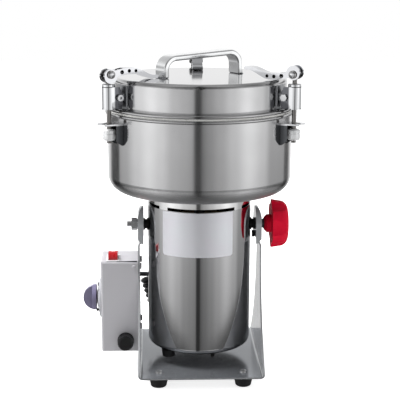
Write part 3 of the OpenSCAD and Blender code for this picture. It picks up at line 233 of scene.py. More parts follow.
def edge_round(node, body, width_mm, material):
    """A copy of a CAD node with its sharp edges broken, which stands for the node."""
    piece = bpy.data.objects.new(node + "_eased", NODES[node].data.copy())
    bpy.context.collection.objects.link(piece)
    select_only(piece)
    bpy.ops.object.mode_set(mode="EDIT")
    bpy.ops.mesh.select_all(action="SELECT")
    bpy.ops.mesh.remove_doubles(threshold=MERGE * MM)
    bpy.ops.mesh.dissolve_limited(angle_limit=FLAT_WITHIN)
    bpy.ops.object.mode_set(mode="OBJECT")
    bevel = piece.modifiers.new("eased edges", "BEVEL")
    bevel.width = width_mm * MM
    bevel.segments = EASE_STEPS
    bevel.limit_method = "ANGLE"
    bevel.angle_limit = SHARP_FROM
    bevel.use_clamp_overlap = True
    weighted = piece.modifiers.new("flat faces stay flat", "WEIGHTED_NORMAL")
    weighted.weight = FLAT_WEIGHT
    bpy.ops.object.shade_smooth()
    bpy.ops.object.modifier_apply(modifier=bevel.name)
    bpy.ops.object.modifier_apply(modifier=weighted.name)
    settle(piece, body, material)
    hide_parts(node)
    return piece


def turned(name, profile, place, direction, sides=48):
    """A turned ring: a closed profile of (radius, height) points, spun round its axis and set in place."""
    bpy.ops.object.select_all(action="DESELECT")
    bpy.ops.mesh.primitive_circle_add(vertices=len(profile), radius=MM)
    piece = bpy.context.object
    piece.name = name
    for vertex, (radius, height) in zip(piece.data.vertices, profile):
        vertex.co = (radius * MM, 0, height * MM)
    bpy.ops.object.mode_set(mode="EDIT")
    bpy.ops.mesh.select_all(action="SELECT")
    bpy.ops.mesh.spin(steps=sides, angle=2 * math.pi, center=(0, 0, 0), axis=(0, 0, 1))
    bpy.ops.mesh.select_all(action="SELECT")
    bpy.ops.mesh.remove_doubles(threshold=MERGE * MM)
    bpy.ops.mesh.normals_make_consistent(inside=False)
    bpy.ops.object.mode_set(mode="OBJECT")
    turn = Vector(direction).to_track_quat("Z", "Y").to_matrix().to_4x4()
    piece.matrix_world = Matrix.Translation(Vector(place) * MM) @ turn
    bpy.ops.object.transform_apply()
    bpy.ops.object.shade_smooth_by_angle(angle=TURNED_CREASE)
    return piece


def lay_patch(patch, lay, thickness):
    """Lays a flat patch on a surface by lay(across, up), in millimetres, and gives it its thickness."""
    for vertex in patch.data.vertices:
        vertex.co = Vector(lay(vertex.co.x / MM, vertex.co.y / MM)) * MM
    solid = patch.modifiers.new("thickness", "SOLIDIFY")
    solid.thickness = thickness * MM
    solid.offset = 1
    select_only(patch)
    bpy.ops.object.modifier_apply(modifier=solid.name)
    bpy.ops.object.shade_smooth_by_angle(angle=PATCH_CREASE)


def flat_patch(name, width, height, slices, corner=0):
    """A flat patch, cut across into slices, with its lower corners rounded."""
    bpy.ops.object.select_all(action="DESELECT")
    bpy.ops.mesh.primitive_plane_add(size=1)
    patch = bpy.context.object
    patch.name = name
    patch.scale = (width * MM, height * MM, 1)
    bpy.ops.object.transform_apply(location=False, rotation=False, scale=True)
    bpy.ops.object.mode_set(mode="EDIT")
    bpy.ops.mesh.select_mode(type="VERT")
    bpy.ops.mesh.select_all(action="DESELECT")
    bpy.ops.object.mode_set(mode="OBJECT")
    for vertex in patch.data.vertices:
        vertex.select = vertex.co.y < 0
    bpy.ops.object.mode_set(mode="EDIT")
    if corner:
        bpy.ops.mesh.bevel(offset=corner * MM, segments=CORNER_STEPS, affect="VERTICES")
    for i in range(1, slices):
        bpy.ops.mesh.select_all(action="SELECT")
        bpy.ops.mesh.bisect(plane_co=(width * MM * (i / slices - 0.5), 0, 0), plane_no=(1, 0, 0))
    bpy.ops.object.mode_set(mode="OBJECT")
    return patch


def flat_figure(name, figure, height):
    """A printed figure, flat and centred, with capitals of a height."""
    bpy.ops.object.select_all(action="DESELECT")
    bpy.ops.object.text_add()
    text = bpy.context.object
    text.name = name
    text.data.body = figure
    text.data.size = height * MM / CAP_HEIGHT
    text.data.align_x = "CENTER"
    text.data.align_y = "CENTER"
    bpy.ops.object.convert(target="MESH")
    return bpy.context.object


def join(pieces, name):
    """Joins pieces into the first of them."""
    bpy.ops.object.select_all(action="DESELECT")
    for piece in pieces:
        piece.select_set(True)
    bpy.context.view_layer.objects.active = pieces[0]
    bpy.ops.object.join()
    pieces[0].name = name
    return pieces[0]


def put_on(piece, material):
    """Gives a piece one finish all over."""
    piece.data.materials.clear()
    piece.data.materials.append(material)


def settle(piece, body, material):
    """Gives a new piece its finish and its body."""
    put_on(piece, material)
    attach(piece, body)


# Materials: widths and depths of grain and widths of fades in millimetres, drifts along it in repeats per metre

NOISE_LOW, NOISE_HIGH = 0.3, 0.7  # nearly all of a noise lies between these
RING, RING_DEPTH = 0.9, 0.02
RING_DRIFT = 2.0
COLLAR_BRIGHT = "#F4F4F4"
# Black of painted shade on the drum's underside
UNDERSIDE_SHADE = "#101012"
GRAIN, GRAIN_DEPTH = 1.2, 0.02
GRAIN_DRIFT = 12.0
# Grey of painted shade on the top of the stand's base plate
PLATE_SHADE_GREY = "#92959A"
PLATE_FADE = (0.1, 0.5)
PLATE_METAL, ARM_METAL = 0.72, 0.5
DULL_OVER = 10
# Dark of painted shade on the ears of the clamps' barrels
EAR_SHADE = "#626367"
EAR_FADE = (7.7, 8.3)
PEEL, PEEL_DEPTH = 1.2, 0.06
BLOOM = 5
RUBBER_GRAIN, RUBBER_DEPTH = 0.8, 0.05
FILM_HUE = 22
COAT_ROUGHNESS = 0.08
QUARTER_TURN = 0.25
# Width of the clouds that polishing and moulding leave in each finish
SPUN_CLOUD, ROLLED_CLOUD, BUFFED_CLOUD, FILM_CLOUD, PAINT_CLOUD, MOULD_CLOUD = 30, 25, 9, 14, 18, 12


def new_material(name, colour, roughness, metallic=0.0):
    """A material of one colour and roughness, with its node tree, its shader and the piece's own coordinates."""
    material = bpy.data.materials.new(name)
    material.use_nodes = True
    tree = material.node_tree
    shader = tree.nodes["Principled BSDF"]
    shader.inputs["Base Color"].default_value = linear(colour)
    shader.inputs["Roughness"].default_value = roughness
    shader.inputs["Metallic"].default_value = metallic
    return material, tree, shader, add(tree, "ShaderNodeTexCoord").outputs["Object"]


def vary_roughness(tree, shader, low, high, coords, size_mm):
    """Roughness drifts between low and high over patches of size_mm, as hand polishing leaves it."""
    patches = add(tree, "ShaderNodeTexNoise", {"Vector": coords, "Scale": per_metre(size_mm), "Detail": 3.0})
    spread = add(tree, "ShaderNodeMapRange", {"Value": patches.outputs["Fac"], "From Min": NOISE_LOW,
                                              "From Max": NOISE_HIGH, "To Min": low, "To Max": high})
    tree.links.new(spread.outputs["Result"], shader.inputs["Roughness"])


def grade_roughness(material, from_mm, to_mm, roughness):
    """Roughness turns to a new value between two heights."""
    tree = material.node_tree
    shader = tree.nodes["Principled BSDF"]
    even = shader.inputs["Roughness"].links[0].from_socket
    coords = add(tree, "ShaderNodeTexCoord").outputs["Object"]
    height = add(tree, "ShaderNodeSeparateXYZ", {"Vector": coords})
    share = add(tree, "ShaderNodeMapRange", {"Value": height.outputs["Z"], "From Min": from_mm * MM,
                                             "From Max": to_mm * MM})
    graded = add(tree, "ShaderNodeMix", {"Factor": share.outputs["Result"], "A": even, "B": roughness},
                 data_type="FLOAT")
    tree.links.new(graded.outputs["Result"], shader.inputs["Roughness"])
    return material


def spun_stainless(name, colour, low, high, smear, shade_below=0, bright_above=0):
    """Spun stainless sheet, buffed on the lathe: fine rings round the axis draw its reflections out upright.
    They are 0.9 mm apart, so that they show. The drum's floor is black as painted shade under it, and it has a
    bright collar."""
    material, tree, shader, coords = new_material(name, colour, low, 1.0)
    rings = add(tree, "ShaderNodeMapping", {"Vector": coords, "Scale": (RING_DRIFT, RING_DRIFT, per_metre(RING))})
    grain = add(tree, "ShaderNodeTexNoise", {"Vector": rings.outputs["Vector"], "Scale": 1.0, "Detail": 4.0})
    bump = add(tree, "ShaderNodeBump", {"Height": grain.outputs["Fac"], "Distance": RING_DEPTH * MM,
                                        "Strength": 0.12})
    tree.links.new(bump.outputs["Normal"], shader.inputs["Normal"])
    vary_roughness(tree, shader, low, high, coords, SPUN_CLOUD)
    tangent = add(tree, "ShaderNodeTangent", direction_type="RADIAL", axis="Z")
    tree.links.new(tangent.outputs["Tangent"], shader.inputs["Tangent"])
    shader.inputs["Anisotropic"].default_value = smear
    shader.inputs["Anisotropic Rotation"].default_value = QUARTER_TURN
    # Below the floor's height the colour turns black: painted shade on the drum's underside; the collar above is
    # brighter
    if shade_below:
        height = add(tree, "ShaderNodeSeparateXYZ", {"Vector": coords})
        bare = add(tree, "ShaderNodeMath", {0: height.outputs["Z"], 1: shade_below * MM},
                   operation="GREATER_THAN")
        collar = add(tree, "ShaderNodeMath", {0: height.outputs["Z"], 1: bright_above * MM},
                     operation="GREATER_THAN")
        sheet = add(tree, "ShaderNodeMix", {"Factor": collar.outputs["Value"], "A": linear(colour),
                                            "B": linear(COLLAR_BRIGHT)}, data_type="RGBA")
        coat = add(tree, "ShaderNodeMix", {"Factor": bare.outputs["Value"], "A": linear(UNDERSIDE_SHADE),
                                           "B": sheet.outputs["Result"]}, data_type="RGBA")
        tree.links.new(coat.outputs["Result"], shader.inputs["Base Color"])
    return material


def rolled_stainless(name, colour, low, high, dull_above=0):
    """Rolled stainless sheet, satin: its mill grain runs from front to back, 1.2 mm apart, and softens reflections.
    The stand is duller above a height, and the top of its base plate is grey as painted shade."""
    material, tree, shader, coords = new_material(name, colour, low, 1.0)
    stretch = add(tree, "ShaderNodeMapping", {"Vector": coords,
                                              "Scale": (per_metre(GRAIN), GRAIN_DRIFT, per_metre(GRAIN))})
    grain = add(tree, "ShaderNodeTexNoise", {"Vector": stretch.outputs["Vector"], "Scale": 1.0, "Detail": 1.0})
    bump = add(tree, "ShaderNodeBump", {"Height": grain.outputs["Fac"], "Distance": GRAIN_DEPTH * MM,
                                        "Strength": 0.03})
    tree.links.new(bump.outputs["Normal"], shader.inputs["Normal"])
    vary_roughness(tree, shader, low, high, coords, ROLLED_CLOUD)
    if dull_above:
        height = add(tree, "ShaderNodeSeparateXYZ", {"Vector": coords})
        buffed = add(tree, "ShaderNodeMapRange", {"Value": height.outputs["Z"], "From Min": dull_above * MM,
                                                  "From Max": (dull_above + DULL_OVER) * MM,
                                                  "To Min": PLATE_METAL, "To Max": ARM_METAL})
        tree.links.new(buffed.outputs["Result"], shader.inputs["Metallic"])
        # The top face of the base plate turns grey: painted shade
        rise = add(tree, "ShaderNodeMath", {0: height.outputs["Z"], 1: BASE_TOP * MM}, operation="SUBTRACT")
        reach = add(tree, "ShaderNodeMath", {0: rise.outputs["Value"]}, operation="ABSOLUTE")
        plate = add(tree, "ShaderNodeMapRange", {"Value": reach.outputs["Value"], "From Min": PLATE_FADE[0] * MM,
                                                 "From Max": PLATE_FADE[1] * MM})
        grey = add(tree, "ShaderNodeMix", {"Factor": plate.outputs["Result"], "A": linear(PLATE_SHADE_GREY),
                                           "B": linear(colour)}, data_type="RGBA")
        tree.links.new(grey.outputs["Result"], shader.inputs["Base Color"])
    return material


def plated(name, colour, low, high, metallic=1.0):
    """Plated, polished or drawn metal: a mirror, clear or soft, with a faint cloud from buffing."""
    material, tree, shader, coords = new_material(name, colour, low, metallic)
    vary_roughness(tree, shader, low, high, coords, BUFFED_CLOUD)
    return material


def barrel_chrome(name, colour, low, high, axis):
    """Chromed barrel of a clamp: bright on its round wall, with painted shade on the ears that stand out from its
    axis.
    """
    material, tree, shader, coords = new_material(name, colour, low, 1.0)
    vary_roughness(tree, shader, low, high, coords, BUFFED_CLOUD)
    out = add(tree, "ShaderNodeVectorMath", {0: coords, 1: (axis.x * MM, axis.y * MM, 0)}, operation="SUBTRACT")
    level = add(tree, "ShaderNodeVectorMath", {0: out.outputs["Vector"], 1: (1, 1, 0)}, operation="MULTIPLY")
    distance = add(tree, "ShaderNodeVectorMath", {0: level.outputs["Vector"]}, operation="LENGTH")
    ear = add(tree, "ShaderNodeMapRange", {"Value": distance.outputs["Value"], "From Min": EAR_FADE[0] * MM,
                                           "From Max": EAR_FADE[1] * MM})
    # The ears turn dark: painted shade
    tone = add(tree, "ShaderNodeMix", {"Factor": ear.outputs["Result"], "A": linear(colour),
                                       "B": linear(EAR_SHADE)}, data_type="RGBA")
    tree.links.new(tone.outputs["Result"], shader.inputs["Base Color"])
    return material


def bracket_steel(name, colour, dark, low, high, dark_below):
    """Welded bracket, bright on its plate and dark on the gussets under a height, as painted shade."""
    material, tree, shader, coords = new_material(name, colour, low, 1.0)
    vary_roughness(tree, shader, low, high, coords, BUFFED_CLOUD)
    # Under that height the colour turns dark: painted shade on the gussets
    height = add(tree, "ShaderNodeSeparateXYZ", {"Vector": coords})
    plate = add(tree, "ShaderNodeMath", {0: height.outputs["Z"], 1: dark_below * MM}, operation="GREATER_THAN")
    tone = add(tree, "ShaderNodeMix", {"Factor": plate.outputs["Value"], "A": linear(dark), "B": linear(colour)},
               data_type="RGBA")
    tree.links.new(tone.outputs["Result"], shader.inputs["Base Color"])
    return material


def silver_film(name, colour, tint, low, high):
    """Metallised film: silver, with a faint change of hue from place to place."""
    material, tree, shader, coords = new_material(name, colour, low, 0.7)
    drift = add(tree, "ShaderNodeTexNoise", {"Vector": coords, "Scale": per_metre(FILM_HUE), "Detail": 2.0})
    hue = add(tree, "ShaderNodeMix", {"Factor": drift.outputs["Fac"], "A": linear(colour), "B": linear(tint)},
              data_type="RGBA")
    tree.links.new(hue.outputs["Result"], shader.inputs["Base Color"])
    vary_roughness(tree, shader, low, high, coords, FILM_CLOUD)
    return material


def powder_coat(name, colour, roughness):
    """Satin powder coat: an orange-peel skin of about 1.2 mm softens the light on it."""
    material, tree, shader, coords = new_material(name, colour, roughness)
    peel = add(tree, "ShaderNodeTexNoise", {"Vector": coords, "Scale": per_metre(PEEL), "Detail": 2.0})
    bump = add(tree, "ShaderNodeBump", {"Height": peel.outputs["Fac"], "Distance": PEEL_DEPTH * MM,
                                        "Strength": 0.25})
    tree.links.new(bump.outputs["Normal"], shader.inputs["Normal"])
    vary_roughness(tree, shader, roughness - 0.06, roughness + 0.08, coords, PAINT_CLOUD)
    return material


def moulding(name, colour, roughness, grain_mm, depth_mm, coat=0.0, shine=0.5):
    """Injection-moulded plastic: a spark-eroded grain keeps its shine broad and low."""
    material, tree, shader, coords = new_material(name, colour, roughness)
    grain = add(tree, "ShaderNodeTexNoise", {"Vector": coords, "Scale": per_metre(grain_mm), "Detail": 2.0})
    bump = add(tree, "ShaderNodeBump", {"Height": grain.outputs["Fac"], "Distance": depth_mm * MM,
                                        "Strength": 0.3})
    tree.links.new(bump.outputs["Normal"], shader.inputs["Normal"])
    vary_roughness(tree, shader, roughness * 0.85, roughness * 1.2, coords, MOULD_CLOUD)
    shader.inputs["Specular IOR Level"].default_value = shine
    shader.inputs["Coat Weight"].default_value = coat
    shader.inputs["Coat Roughness"].default_value = COAT_ROUGHNESS
    return material


def moulded_rubber(name, colour, dust_colour, roughness):
    """Moulded rubber: matt, with a fine dusty bloom that greys it in places."""
    material, tree, shader, coords = new_material(name, colour, roughness)
    bloom = add(tree, "ShaderNodeTexNoise", {"Vector": coords, "Scale": per_metre(BLOOM), "Detail": 4.0})
    dust = add(tree, "ShaderNodeMix", {"Factor": bloom.outputs["Fac"], "A": linear(colour),
                                       "B": linear(dust_colour)}, data_type="RGBA")
    tree.links.new(dust.outputs["Result"], shader.inputs["Base Color"])
    grain = add(tree, "ShaderNodeTexNoise", {"Vector": coords, "Scale": per_metre(RUBBER_GRAIN), "Detail": 2.0})
    bump = add(tree, "ShaderNodeBump", {"Height": grain.outputs["Fac"], "Distance": RUBBER_DEPTH * MM,
                                        "Strength": 0.3})
    tree.links.new(bump.outputs["Normal"], shader.inputs["Normal"])
    return material


def make_materials():
    """Every finish by its name in this script, which is the slot's name where a slot has one finish."""
    return {
        # Sheet steel, satin or spun
        "polished_steel": rolled_stainless("satin rolled stainless", "#B7B9BC", 0.26, 0.36),
        # The grey top of the stand's base plate is painted shade
        "stand_steel": rolled_stainless("rolled stainless, arms dull", "#B2B4B7", 0.13, 0.19, BASE_TOP + 0.5),
        "bowl_steel": grade_roughness(spun_stainless("spun stainless, base matt", "#CBCBCC", 0.13, 0.19, 0.8),
                                      BOWL_Z + 16, BOWL_Z + 2, 0.5),
        "lid_steel": grade_roughness(spun_stainless("spun stainless, top polished", "#CBCBCC", 0.13, 0.19, 0.8),
                                     LID_TOP - 1.2, LID_TOP - 0.3, 0.06),
        # The drum's black floor is painted shade under it
        "housing_steel": spun_stainless("spun stainless, painted shade on floor", "#CBCBCC", 0.05, 0.09, 0.2,
                                        DRUM_Z + 0.4, COLLAR_Z),
        # Fittings of bright metal
        "bright_steel": plated("zinc-plated steel", "#CBCCCE", 0.16, 0.26, 0.88),
        "chrome": plated("chromed steel", "#DDDEE0", 0.04, 0.09),
        "lever_chrome": plated("chromed pressed steel", "#D0D1D4", 0.06, 0.12),
        # The rod's dark tone is partly its bare steel and partly painted shade where it lies in the levers' shadow
        "rod_steel": plated("bare turned steel", "#83817F", 0.12, 0.2),
        # The dark on the gussets below the plate is painted shade
        "bracket_steel": bracket_steel("welded bracket steel", "#DADBDD", "#56585B", 0.16, 0.24, KEEPER_Z - 0.2),
        "nut_metal": plated("tumbled aluminium", "#EDEEEF", 0.42, 0.5, 0.6),
        "handle_steel": plated("polished chromed steel", "#E4E5E6", 0.1, 0.16, 0.92),
        "dial_metal": plated("satin aluminium", "#BFC0C4", 0.4, 0.5, 0.4),
        "washer_steel": plated("blackened steel", "#5A5B5E", 0.35, 0.5),
        "weld": rolled_stainless("ground weld bead", "#A9ABAE", 0.3, 0.45),
        # Paint, rubber and plastic
        "grey_paint": powder_coat("grey powder coat", "#9F9EA2", 0.42),
        "black_rubber": moulded_rubber("black rubber", "#060607", "#0F0F11", 0.62),
        "cord_sheath": moulded_rubber("cord sheath", "#0C0C0E", "#1A1A1C", 0.42),
        "black_plastic": moulding("black ABS", "#0D0D0F", 0.42, 0.9, 0.04),
        "switch_plastic": moulding("pale grey ABS", "#C9C8CA", 0.4, 0.9, 0.03),
        "red_plastic": moulding("red phenolic", "#C80F2E", 0.6, 1.1, 0.03, shine=0.08),
        "red_rocker": moulding("red polycarbonate", "#9E1A20", 0.3, 1.0, 0.02, 0.2),
        "violet_grey_plastic": moulding("violet-grey ABS", "#656179", 0.38, 0.9, 0.03),
        "white_rubber": moulded_rubber("white silicone", "#DCDCD9", "#C4C4C1", 0.5),
        # Inside the bowl and the drum
        "blade_steel": rolled_stainless("ground blade steel", "#BFC2C6", 0.22, 0.32),
        "cast_plate": plated("cast aluminium", "#9A9CA0", 0.4, 0.55),
        "core_steel": rolled_stainless("stacked laminations", "#6A6A6D", 0.4, 0.5),
        "copper": plated("varnished copper", "#B4713C", 0.25, 0.4),
        "brush_brass": plated("drawn brass", "#B99A5A", 0.25, 0.35),
        "carbon": moulded_rubber("pressed carbon", "#1B1B1D", "#2A2A2D", 0.6),
        "fan_plastic": moulding("white nylon", "#D8D8D2", 0.45, 0.9, 0.03),
        # Film and print
        "film": silver_film("silver film", "#E3E8EB", "#E6E2EA", 0.32, 0.4),
        "black_ink": moulding("black screen ink", "#141416", 0.5, 0.6, 0.01),
        "white_ink": moulding("white screen ink", "#E6E6E4", 0.5, 0.6, 0.01),
    }


NODE_FINISHES = {"bowl": "bowl_steel", "lid": "lid_steel", "motor_housing": "housing_steel",
                 "switch_body": "switch_plastic", "box_screws": "grey_paint"}


def dress_nodes(materials):
    """Gives every CAD node its finish: its own where it has one, or else its slot's."""
    for row in frame["record"]["subparts"]:
        put_on(NODES[row["node"]], materials[NODE_FINISHES.get(row["node"], row["material_slot"])])


# Plain silver film round the front of the drum

FILM_TURN = -4.4
FILM_HALF_ANGLE = 41
FILM_LOW, FILM_HIGH = 146, 196
FILM_CORNER = 3
FILM_LIFT = 0.08
FILM_THICKNESS = 0.15
FILM_SLICES = 32


def make_drum_film(materials):
    width = 2 * math.radians(FILM_HALF_ANGLE) * DRUM_R
    film = flat_patch("drum_film", width, FILM_HIGH - FILM_LOW, FILM_SLICES, FILM_CORNER)
    radius = DRUM_R + FILM_LIFT

    def on_drum(across, up):
        angle = across / DRUM_R + math.radians(FILM_TURN)
        return radius * math.sin(angle), -radius * math.cos(angle), up + (FILM_LOW + FILM_HIGH) / 2

    lay_patch(film, on_drum, FILM_THICKNESS)
    settle(film, "motor_unit", materials["film"])


# Scale of the timer, printed on the dome of its dial: minutes, clockwise from the top

DIAL_RIM = 1.5
DIAL_DOME = 4
DIAL_R = 23.5
DOME_R = (DIAL_R ** 2 + DIAL_DOME ** 2) / (2 * DIAL_DOME)
DIAL_SWEEP = 300
DIAL_MINUTES = 30
FIGURE_R = 20.2
FIGURE_HEIGHT = 3.2
TICK_R = 16.3
LONG_TICK, SHORT_TICK = (0.6, 2.4), (0.35, 1.4)
NUMBERED = 5
INK = 0.1


def on_dial(turn, across, out):
    """A point of the dome at a turn clockwise from the top, across that turn and out from the axis."""
    angle = math.radians(turn)
    y = -out * math.sin(angle) - across * math.cos(angle)
    z = out * math.cos(angle) - across * math.sin(angle)
    rise = DIAL_RIM + DIAL_DOME - DOME_R + math.sqrt(DOME_R ** 2 - y * y - z * z)
    return BOX_X - rise - INK / 4, y, DIAL_Z + z


def make_dial_scale(materials):
    pieces = []
    for minute in range(DIAL_MINUTES + 1):
        turn = DIAL_SWEEP * minute / DIAL_MINUTES
        numbered = minute % NUMBERED == 0
        tick = flat_patch(f"tick_{minute}", *(LONG_TICK if numbered else SHORT_TICK), 1)
        lay_patch(tick, lambda across, up: on_dial(turn, across, TICK_R + up), INK)
        pieces.append(tick)
        if numbered:
            figure = flat_figure(f"figure_{minute}", str(minute), FIGURE_HEIGHT)
            lay_patch(figure, lambda across, up: on_dial(turn, across, FIGURE_R + up), INK)
            pieces.append(figure)
    scale = join(pieces, "dial_scale")
    settle(scale, "stand", materials["black_ink"])


# Pointer of the timer knob, a white line over the crest of its grip

GRIP_X = -120
GRIP_R = 14.5
POINTER_LENGTH, POINTER_WIDTH = 11, 1.1
POINTER_TURN = 34
POINTER_SLICES = 10


def make_knob_pointer(materials):
    pointer = flat_patch("knob_pointer", POINTER_LENGTH, POINTER_WIDTH, POINTER_SLICES)

    def over_crest(across, up):
        angle = across / GRIP_R + math.radians(POINTER_TURN)
        radius = GRIP_R + INK / 4
        return GRIP_X - radius * math.sin(angle), up, DIAL_Z + radius * math.cos(angle)

    lay_patch(pointer, over_crest, INK)
    settle(pointer, "timer_knob", materials["white_ink"])


# On and off marks of the rocker, one on each of its two faces

ROCKER_PLACE = Vector((-99, -10.2, 134.5))
ROCKER_TILT = 9
ROCKER_R = 11
ROCKER_VALLEY, ROCKER_CREST = 4.5, 7
MARK_REACH = 5.5
MARK_HEIGHT = 3.4


def make_rocker_marks(materials):
    tip = Matrix.Rotation(math.radians(-ROCKER_TILT), 3, "X")
    pieces = []
    for figure, centre in (("I", -MARK_REACH), ("O", MARK_REACH)):
        mark = flat_figure("rocker_mark_" + figure, figure, MARK_HEIGHT)

        def on_face(across, up):
            y = centre + up
            rise = ROCKER_VALLEY + (ROCKER_CREST - ROCKER_VALLEY) * abs(y) / ROCKER_R + INK / 4
            return ROCKER_PLACE + tip @ Vector((across, y, rise))

        lay_patch(mark, on_face, INK)
        pieces.append(mark)
    marks = join(pieces, "rocker_marks")
    settle(marks, "switch_rocker", materials["white_ink"])


# Painted shadow in the gap of the control box's cover: a black strip along the right half of its top front edge,
# wider to the right

SEAM_FROM, SEAM_TO = -95, -71.5
SEAM_TURN = 60
SEAM_SPAN = 2
SEAM_SLICES = 10
SEAM_NARROW, SEAM_GROWTH = 0.35, 0.7
SEAM_LIFT = 0.03
SEAM_THICKNESS = 0.06


def make_cover_seam(materials):
    gap_shadow = flat_patch("cover_gap_shadow", SEAM_SPAN, SEAM_TO - SEAM_FROM, SEAM_SLICES)

    def on_edge(over, along):
        share = 0.5 - along / (SEAM_TO - SEAM_FROM)
        angle = math.radians(SEAM_TURN) + over * (SEAM_NARROW + SEAM_GROWTH * share) / BOX_ROUND
        radius = BOX_ROUND + SEAM_LIFT
        return ((SEAM_FROM + SEAM_TO) / 2 - along, BOX_ROUND - BOX_HALF_DEPTH - radius * math.cos(angle),
                BOX_TOP - BOX_ROUND + radius * math.sin(angle))

    lay_patch(gap_shadow, on_edge, SEAM_THICKNESS)
    # The black strip is painted shadow in the cover's gap
    settle(gap_shadow, "stand", materials["black_plastic"])


# Ribbed strain reliefs of the control box, the curly cord's above the mains lead's

GLAND_LENGTH = 10
GLAND_HEIGHTS = (104, 47)
GLAND_BORES = (CORD_D / 2 + 0.05, 1.75)
GLAND_TIP_R = 4.1
FLANGE_R = 6
FLANGE_HEIGHT = 2
GLAND_RIBS = 4
RIB_R = 5.6
RIB_TAPER = 0.3
RIB_PITCH = 1.9
RIB_OUTLINE = [(-0.5, 0.5), (0, 0.8), (0, 1.5), (-0.5, 1.8)]


def make_ribbed_glands(materials):
    pieces = []
    for height, bore in zip(GLAND_HEIGHTS, GLAND_BORES):
        profile = [(bore, 0), (FLANGE_R, 0), (FLANGE_R, FLANGE_HEIGHT - 0.4), (FLANGE_R - 0.7, FLANGE_HEIGHT)]
        for rib in range(GLAND_RIBS):
            foot = FLANGE_HEIGHT + RIB_PITCH * rib
            radius = RIB_R - RIB_TAPER * rib
            profile += [(radius + out, foot + up) for out, up in RIB_OUTLINE]
        profile += [(GLAND_TIP_R, GLAND_LENGTH), (bore, GLAND_LENGTH)]
        pieces.append(turned(f"gland_{height}", profile, (CORD_START.x, BOX_HALF_DEPTH, height), (0, 1, 0)))
    glands = join(pieces, "ribbed_glands")
    settle(glands, "stand", materials["cord_sheath"])
    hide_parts("cord_glands")


# Clamps, three round the lid

def clamp_axis(number, height=0):
    """A point on the axis of a clamp."""
    angle = math.radians(CLAMP_ANGLES[number])
    return Vector((CLAMP_R * math.cos(angle), CLAMP_R * math.sin(angle), height))


# Nuts of the clamps: a ribbed collar over a plain, round-bottomed barrel

NUT_R = 6.8
NUT_NECK_R = 6.2
NUT_WALL_R = NUT_R - 0.05
NUT_BORE = 2.6
NUT_RIBS = 20
NUT_GROOVE = 0.93
NUT_COLLAR = (4.8, 1.6)


def make_clamp_nut(number, materials):
    low, high = (corner.z / MM for corner in map(Vector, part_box(f"clamp_nut_{number}")))
    height = high - low
    profile = [(NUT_BORE, 0), (4.6, 0), (5.8, 0.35), (6.5, 1.1), (NUT_WALL_R, 2.2), (NUT_WALL_R, height - 5.6),
               (NUT_NECK_R, height - 5.3), (NUT_NECK_R, height - 4.9), (NUT_R, height - 4.6), (NUT_R, height - 3.2),
               (NUT_R, height - 1.8), (NUT_NECK_R, height - 1.3), (3.6, height - 0.2), (NUT_BORE, height - 0.2)]
    nut = turned(f"ribbed_nut_{number}", profile, (0, 0, 0), (0, 0, 1), 2 * NUT_RIBS)
    collar_low, collar_high = (height - below for below in NUT_COLLAR)
    for vertex in [v for v in nut.data.vertices if collar_low < v.co.z / MM < collar_high]:
        column = round(math.atan2(vertex.co.y, vertex.co.x) / math.pi * NUT_RIBS)
        if column % 2:
            vertex.co.x *= NUT_GROOVE
            vertex.co.y *= NUT_GROOVE
    nut.matrix_world = Matrix.Translation(clamp_axis(number, low) * MM)
    select_only(nut)
    bpy.ops.object.transform_apply()
    settle(nut, f"nut_{number}", materials["nut_metal"])
    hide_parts(f"clamp_nut_{number}")


# Barrels of the clamps: painted shade on the ears, and a thin black ring under the wear washer as a painted shadow
# line in the joint

BARREL_R = 7.1
BARREL_TOP = 335.2
SHADOW_RING_IN, SHADOW_RING_OUT = BARREL_R - 0.5, BARREL_R + 0.04
SHADOW_RING_HALF = 0.4


def make_barrel_washer(number, materials):
    finish = barrel_chrome(f"chromed barrel {number}", "#DDDEE0", 0.05, 0.1, clamp_axis(number))
    put_on(NODES[f"clamp_barrel_{number}"], finish)
    profile = [(SHADOW_RING_IN, -SHADOW_RING_HALF), (SHADOW_RING_OUT, -SHADOW_RING_HALF), (SHADOW_RING_OUT, SHADOW_RING_HALF),
               (SHADOW_RING_IN, SHADOW_RING_HALF)]
    # This black ring is a painted shadow line in the joint between barrel and washer
    shadow_ring = turned(f"barrel_shadow_ring_{number}", profile, clamp_axis(number, BARREL_TOP), (0, 0, 1))
    settle(shadow_ring, f"clamp_{number}", materials["black_rubber"])


# Domed heads of the clamps' cross pins

PIN_Z = 348.6
PIN_REACH = 7.4
PIN_HEAD = [(0.05, -0.3), (3.9, -0.3), (3.9, 0.15), (3.5, 0.6), (2.7, 1.0), (1.5, 1.3), (0.05, 1.4)]


def make_pin_heads(number, materials):
    angle = math.radians(CLAMP_ANGLES[number])
    middle = clamp_axis(number, PIN_Z)
    across = Vector((-math.sin(angle), math.cos(angle), 0))
    pieces = [turned(f"pin_head_{number}_{side}", PIN_HEAD, middle + side * PIN_REACH * across, side * across)
              for side in (-1, 1)]
    heads = join(pieces, f"pin_heads_{number}")
    settle(heads, f"clamp_{number}", materials["chrome"])


# Painted shade in the holes of the levers: black discs half way through them, each hole at a share of the length
# and with a width;
# a tight lever lies curled down, the released one curled up

LEVER_LENGTH = 58
LEVER_DIP, DIP_SHARE = 3, 0.38
LEVER_CURL, TIP_FROM, TIP_SHARE = 4.6, 0.48, 0.42
LEVER_HOLES = ((0.23, 4.6), (0.38, 4.0), (0.52, 3.6))
RELEASED = 2
HOLE_SHADE_IN = 0.1
HOLE_SHADE_HALF = 1.2
HOLE_SHADE_SIDES = 24


def smooth_step(t):
    """Rises smoothly from 0 to 1 as t does."""
    t = min(max(t, 0), 1)
    return t * t * (3 - 2 * t)


